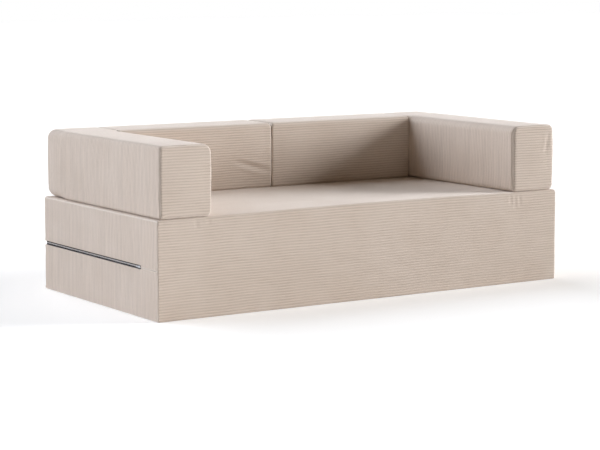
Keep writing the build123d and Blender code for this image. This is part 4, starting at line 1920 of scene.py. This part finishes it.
@dataclass
class Bolsters:
    """The two arm bolsters and the two back bolsters."""

    finishes: Finishes
    top_round: float = 0.032
    arm_outer_rounds: Pair = (0.014, 0.026)
    back_top_round: float = 0.020
    outer_foot_round: float = 0.032
    back_foot_round: float = 0.010
    inner_foot_round: float = 0.020
    rear_round: float = 0.028
    rear_corner_round: float = 0.036
    front_round: float = 0.012
    front_left_rounds: Pair = (0.012, 0.020)
    front_right_rounds: Pair = (0.006, 0.014)
    rear_foot_round: float = 0.044
    square_until: float = 0.40
    square_fall: float = 0.10
    seam_ends: Sides = (0.008, 0.010, 0.020, 0.007)
    arm_ends: Sides = (0.006, 0.010, 0.0035, 0.004)
    pressed_round: float = 0.003
    pressed_from: float = 0.02
    pressed_fall: float = 0.05
    arm_foot_rounds: Pair = (0.008, 0.020)
    rim_sag: float = 0.0024
    rim_width: Pair = (0.012, 0.018)
    rim_height: float = 0.03
    side_crown: float = 0.003
    end_crown: float = 0.002
    top_crown: float = 0.0015
    front_crown: float = 0.003
    zip_margin: float = 0.09
    slot_spare: float = 0.004
    slot_half_width: float = SLOT_HALF_WIDTH + 0.0006
    slot_depth: float = 0.0062
    wadding_inset: float = 0.0065
    core_inset: float = 0.018
    filling: Filling = Filling(voxel=0.016, swell=0.003)
    rear_y: float = field(init=False)
    top_z: float = field(init=False)

    def __post_init__(self) -> None:
        """Works out where the plain blocks end before their crowns."""
        self.rear_y = HALF_DEPTH - REAR_INSET - self.end_crown
        self.top_z = BOLSTER_TOP - self.top_crown

    def arm(self, side: int) -> None:
        """Arm bolster.

        Args:
            side: -1 on the left or 1 on the right.
        """
        right = side > 0
        outer = HALF_WIDTH - ARM_SIDE_INSET
        low_x, high_x = sorted((side * outer, side * (outer - ARM_THICKNESS)))
        feet = (self.inner_foot_round, self.outer_foot_round)[::-side]
        left_end, right_end = self.front_left_rounds[right], self.front_right_rounds[right]
        block = RoundedBlock(
            low=(low_x + self.side_crown, ARM_FRONT_INSET - HALF_DEPTH + self.end_crown, BOLSTER_Z),
            high=(high_x - self.side_crown, self.rear_y, self.top_z),
            way=Way.ALONG_Y,
            corners=(feet[0], self.top_round, self.top_round, feet[1]),
            low_end=(self.front_round, right_end, self.front_round, left_end),
            high_end=(
                self.rear_foot_round, self.rear_round, self.rear_corner_round, self.rear_round,
            ),
            ribs=Ribs.ROUND,
            cap_ribs=CapRibs.LEVEL,
            coarse=0.010,
            band_sway=0.0060,
            cap_sway=0.0008,
        )
        crowns = (self.side_crown, self.side_crown, self.end_crown, self.end_crown, self.top_crown)
        crease = Crease((0.957, -0.5, 0.652), (0.938, -0.5, 0.556), (0, 1, 0), 0.004, 0.007)
        name = "arm_right" if right else "arm_left"
        self.fill(Cover(
            name + "_case", block, crowns, name, (name + "_cover",), self.filling, 11.0 + side,
            creases=(crease,) if right else (), wander=0.0016, special=self.arm_moves(side, block),
        ))

    def arm_moves(self, side: int, block: RoundedBlock) -> Moves:
        """Cover zip's slot, and long edges that are squarer over a part of the arm's length.

        Args:
            side: -1 on the left or 1 on the right.
            block: the arm's block.

        Returns:
            What gives the moved places for the given ones.
        """
        groove = self.zip_groove(block)
        inner, outer = (block.low[0], block.high[0])[::side]
        low_z, high_z = block.low[2], block.high[2]
        top, foot = self.arm_outer_rounds[side > 0], self.arm_foot_rounds[side > 0]

        def moves(places: np.ndarray) -> np.ndarray:
            """Squares the outer edges up to the rear corner, and the inner one beside the back.

            Args:
                places: places on the arm.

            Returns:
                The moved places.
            """
            forward = eased((self.square_until - places[:, 1]) / self.square_fall)
            beside = eased((places[:, 1] - BACK_FRONT_Y + self.pressed_from) / self.pressed_fall)
            moved = groove(places)
            for corner, ways, rounds, share in (
                ((outer, high_z), (side, 1), (self.top_round, top), forward),
                ((outer, low_z), (side, -1), (self.outer_foot_round, foot), forward),
                ((inner, high_z), (-side, 1), (self.top_round, self.pressed_round), beside),
            ):
                moved += squared(places, corner, ways, rounds, share)
            return moved

        return moves

    def back(self, side: int) -> None:
        """Back bolster.

        Args:
            side: -1 on the left or 1 on the right.
        """
        right = side > 0
        low_x, high_x = sorted((side * BOLSTER_GAP / 2, side * (BAY_HALF_WIDTH - BOLSTER_GAP)))
        front_y = BACK_FRONT_Y - BACK_SWELL
        ends = (self.arm_ends, self.seam_ends)[::-side]
        block = RoundedBlock(
            low=(low_x + self.end_crown, front_y + self.front_crown, BOLSTER_Z),
            high=(high_x - self.end_crown, self.rear_y, self.top_z),
            way=Way.ALONG_X,
            corners=(self.rear_round, self.top_round, self.back_top_round, self.back_foot_round),
            low_end=ends[0],
            high_end=ends[1],
            ribs=Ribs.LENGTHWISE,
            band_sway=0.0010,
            cap_ribs=CapRibs.UPRIGHT,
            coarse=0.016,
        )
        crowns = (self.end_crown, self.end_crown, self.front_crown, self.end_crown, self.top_crown)
        crease = Crease((-0.195, front_y, 0.520), (-0.008, front_y, 0.469), (0, 1, 0), 0.004, 0.012)
        name = "back_right" if right else "back_left"
        self.fill(Cover(
            name + "_case", block, crowns, name, (name + "_cover",), self.filling, 21.0 + side,
            creases=() if right else (crease,), wander=0.0010, special=self.zip_groove(block),
        ))

    def fill(self, cover: Cover) -> None:
        """Builds a bolster: wadding wrap, foam core and the cover round them.

        Args:
            cover: the bolster's cover.
        """
        name = cover.body
        for ending, slot, inset in (
            ("_wadding", "wadding", self.wadding_inset), ("_foam_core", "foam", self.core_inset)
        ):
            Stuffing(name + ending, name, slot, shrunk(cover.block, inset)).build(self.finishes)
        cover.build(self.finishes)

    def zip_groove(self, block: RoundedBlock) -> Moves:
        """Slot for the cover zip in a bolster's underside.

        Args:
            block: the bolster's block.

        Returns:
            What gives the moved places for the given ones.
        """
        axis = block.way.value
        across = 1 - axis
        low, high = np.array(block.low[:2]), np.array(block.high[:2])
        centre = (low + high) / 2
        middle = COVER_ZIP_Y if across else centre[across]
        half = (high[axis] - low[axis]) / 2 - self.zip_margin
        half += self.slot_spare + (block.coarse if block.ribs is Ribs.LENGTHWISE else 0.0)

        def groove(places: np.ndarray) -> np.ndarray:
            """Pushes the slot's floor up, and lets the underside's rim sag on to the seat.

            Args:
                places: places on the bolster.

            Returns:
                The moved places.
            """
            away = np.abs(places[:, across] - middle)
            inside = (away < self.slot_half_width) & (np.abs(places[:, axis] - centre[axis]) < half)
            bottom = places[:, 2] < BOLSTER_Z + 0.001
            moved = places.copy()
            moved[inside & bottom, 2] += self.slot_depth
            edge = np.minimum(places[:, :2] - low, high - places[:, :2]).min(1)
            near = 1 - eased((edge - self.rim_width[0]) / self.rim_width[1])
            low_down = 1 - eased((places[:, 2] - BOLSTER_Z) / self.rim_height)
            moved[:, 2] -= self.rim_sag * (near * low_down)
            return moved

        return groove


@dataclass
class ClosingZip:
    """Coil rows and tapes of the zip in the slit."""

    finishes: Finishes
    pitch: float = 0.0024
    tooth_length: float = 0.0026
    tooth_depth: float = 0.0028
    lower_row: Pair = (-0.00105, 0.0016)
    upper_row: Pair = (0.00165, 0.0023)
    start_y: float = -0.349
    parked_y: float = -0.3344
    tape_start_y: float = -0.3525
    tape_depths: Pair = (0.0073, 0.0080)
    # the tapes reach well past the coil rows: partly real tape, partly painted shadow inside the
    # slit
    lower_tape: Pair = (-0.0090, -0.0004)
    upper_tape: Pair = (0.0004, 0.0086)

    def path(self, depth: float, left_start: float, right_start: float) -> list[Pair]:
        """Plan of a line inside the left, rear and right sides.

        Args:
            depth: distance inside the sides.
            left_start: where it starts on the left side.
            right_start: where it stops on the right side.

        Returns:
            Its places in X and Y.
        """
        x = HALF_WIDTH - depth
        y = HALF_DEPTH - depth
        r = REAR_CORNER - depth
        points = [(-x, left_start)]
        for side, first in ((-1, math.pi), (1, math.pi / 2)):
            for turn in range(7):
                angle = first - turn * math.pi / 12
                points.append((side * (x - r) + r * math.cos(angle), y - r + r * math.sin(angle)))
        points.append((x, right_start))
        return points

    def tape(self, name: str, heights: Pair) -> None:
        """Woven tape behind a coil row, as a thin band with closed ends.

        Args:
            name: lower or upper.
            heights: its edges' heights over the fold.
        """
        start = self.tape_start_y
        outer, inner = (self.path(depth, start, start) for depth in self.tape_depths)
        low, high = (FOLD_Z + height for height in heights)
        points = []
        for (ax, ay), (bx, by) in zip(outer, inner):
            points += [(ax, ay, low), (ax, ay, high), (bx, by, high), (bx, by, low)]
        faces = [(0, 1, 2, 3), tuple(len(points) - k for k in (1, 2, 3, 4))]
        for a in range(0, len(points) - 4, 4):
            b = a + 4
            faces += [(a + k, b + k, b + (k + 1) % 4, a + (k + 1) % 4) for k in range(4)]
        mesh = bpy.data.meshes.new(f"closing_zip_tape_{name}")
        mesh.from_pydata(points, [], faces)
        outwards(mesh)
        mesh.materials.append(self.finishes.by_slot["zip_tape"])
        tie(linked(mesh.name, mesh), name + "_half", ("zip_tape_" + name,))

    def build(self) -> None:
        """Builds both rows and both tapes."""
        halves = (
            ("lower", self.lower_row, self.start_y, self.lower_tape),
            ("upper", self.upper_row, self.parked_y, self.upper_tape),
        )
        for name, (rise, width), start, _ in halves:
            path = self.path(ROW_DEPTH, start, self.start_y)
            line = poly_curve("coil_line", [[(x, y, FOLD_Z + rise) for x, y in path]])
            tooth = (self.tooth_length, self.tooth_depth, width)
            title = f"closing_zip_coil_{name}"
            obj = self.finishes.toothed(title, line, self.pitch, tooth, "zip_coil")
            tie(obj, name + "_half", ("zip_row_" + name,))
        for name, _, _, heights in halves:
            self.tape(name, heights)


@dataclass
class CoverZips:
    """Coil teeth of the zips in the bolsters' undersides."""

    finishes: Finishes
    pitch: float = 0.0026
    tooth_length: float = 0.0020
    row_shares: Pair = (0.21, 0.79)
    row_share: float = 0.40

    def row_lines(self, node: bpy.types.Object, axis: int) -> tuple[bpy.types.Curve, Place]:
        """Lines for the teeth of both rows.

        Args:
            node: the rows' CAD node.
            axis: the axis along which they run.

        Returns:
            The lines along the middles of the rows, and the teeth's size.
        """
        world = np.array(node.matrix_world)
        places = vertex_values(node.data) @ world[:3, :3].T + world[:3, 3]
        low, high = places.min(0), places.max(0)
        across = 1 - axis
        size = high - low
        lines = []
        for share in self.row_shares:
            ends = np.stack([(low + high) / 2] * 2)
            ends[:, axis] = low[axis], high[axis]
            ends[:, across] = low[across] + size[across] * share
            lines.append(ends)
        tooth = (self.tooth_length, float(size[across]) * self.row_share, float(size[2]))
        return poly_curve("cover_coil_lines", lines), tooth

    def build(self) -> None:
        """Builds the teeth of all four bolsters."""
        for name, axis in (("arm_left", 1), ("arm_right", 1), ("back_left", 0), ("back_right", 0)):
            line, tooth = self.row_lines(frame["nodes"][name + "_zip_rows"], axis)
            title = name + "_cover_coil"
            obj = self.finishes.toothed(title, line, self.pitch, tooth, "cover_zip_coil")
            tie(obj, name, (name + "_zip_rows",))


@dataclass
class Studio:
    """Camera, floor and soft light."""

    place: Place = (-4.59358, -6.99512, 1.34988)
    pitch: float = 0.09930
    yaw: float = 0.57927
    lens: float = 116.7087
    shift_y: float = -0.1
    floor_half_size: float = 40.0
    floor_z: float = -0.0005
    suns: tuple[tuple[str, float, float, float, float, Place], ...] = (
        ("key_light", 68.0, 14.8, 26.0, 1.49, (0.92, 0.955, 1.0)),
        ("rear_fill", 210.0, 17.6, 90.0, 1.85, (0.815, 0.89, 1.0)),
    )
    horizon: Colour = (0.066, 0.054, 0.040, 1.0)
    zenith: Colour = (0.138, 0.116, 0.090, 1.0)

    def build(self) -> None:
        """Sets up the whole studio."""
        scene = bpy.context.scene
        scene.view_settings.view_transform = "Standard"
        scene.view_settings.look = "None"
        data = bpy.data.cameras.new("photo_camera")
        data.lens = self.lens
        data.sensor_width = 36.0
        data.shift_y = self.shift_y
        data.clip_end = 200.0
        camera = linked("photo_camera", data)
        camera.location = self.place
        camera.rotation_euler = Euler((math.pi / 2 - self.pitch, 0.0, -self.yaw))
        scene.camera = camera
        self.floor()
        self.world()
        for sun in self.suns:
            self.sun(*sun)
        LOG.info("studio ready")

    def floor(self) -> None:
        """Large plain floor."""
        mesh = bpy.data.meshes.new("floor")
        half = self.floor_half_size
        corners = [(-half, -half, 0), (half, -half, 0), (half, half, 0), (-half, half, 0)]
        mesh.from_pydata(corners, [], [(0, 1, 2, 3)])
        mesh.materials.append(StudioFloor().material())
        floor = linked("floor", mesh)
        floor.location.z = self.floor_z

    def world(self) -> None:
        """White backdrop, and a dim warm sky as light."""
        world = bpy.data.worlds.new("studio_world")
        world.use_nodes = True
        world.node_tree.nodes.clear()
        nodes = Nodes(world.node_tree)
        seen = nodes.value("ShaderNodeLightPath", output="Is Camera Ray")
        facing = nodes.value("ShaderNodeTexCoord")
        way = nodes.value("ShaderNodeSeparateXYZ", None, {0: facing}, "Z")
        sky = nodes.mix_colour(way.math("MAXIMUM", 0.0), self.horizon, self.zenith)
        colour = nodes.mix_colour(seen, sky, (1.0, 1.0, 1.0, 1.0))
        light = nodes.add("ShaderNodeBackground", None, {"Color": colour, "Strength": 1.0})
        nodes.add("ShaderNodeOutputWorld", None, {"Surface": light.outputs[0]})
        bpy.context.scene.world = world

    def sun(
        self,
        name: str,
        azimuth: float,
        elevation: float,
        spread: float,
        strength: float,
        colour: Place,
    ) -> None:
        """One wide far light, as soft as its spread makes it.

        Args:
            name: the light's name.
            azimuth: degrees from straight in front, to the right.
            elevation: degrees above the floor.
            spread: its width in degrees.
            strength: brightness of a white sheet that faces it.
            colour: its colour.
        """
        data = bpy.data.lights.new(name, "SUN")
        data.energy = strength * math.pi
        data.angle = math.radians(spread)
        data.color = colour
        lamp = linked(name, data)
        turn, rise = math.radians(azimuth), math.radians(elevation)
        way = (math.sin(turn) * math.cos(rise), -math.cos(turn) * math.cos(rise), math.sin(rise))
        lamp.rotation_euler = Vector(way).to_track_quat("Z", "Y").to_euler()


def main() -> None:
    """Builds the sofa bed's looks piece by piece."""
    logging.basicConfig(level=logging.INFO, format="%(message)s")
    finishes = Finishes()
    finishes.dress_nodes()
    base = Base(finishes)
    base.slabs()
    base.front()
    base.foams()
    bolsters = Bolsters(finishes)
    for side in (-1, 1):
        bolsters.arm(side)
        bolsters.back(side)
    ClosingZip(finishes).build()
    CoverZips(finishes).build()
    Studio().build()


if __name__ == "__main__":
    main()
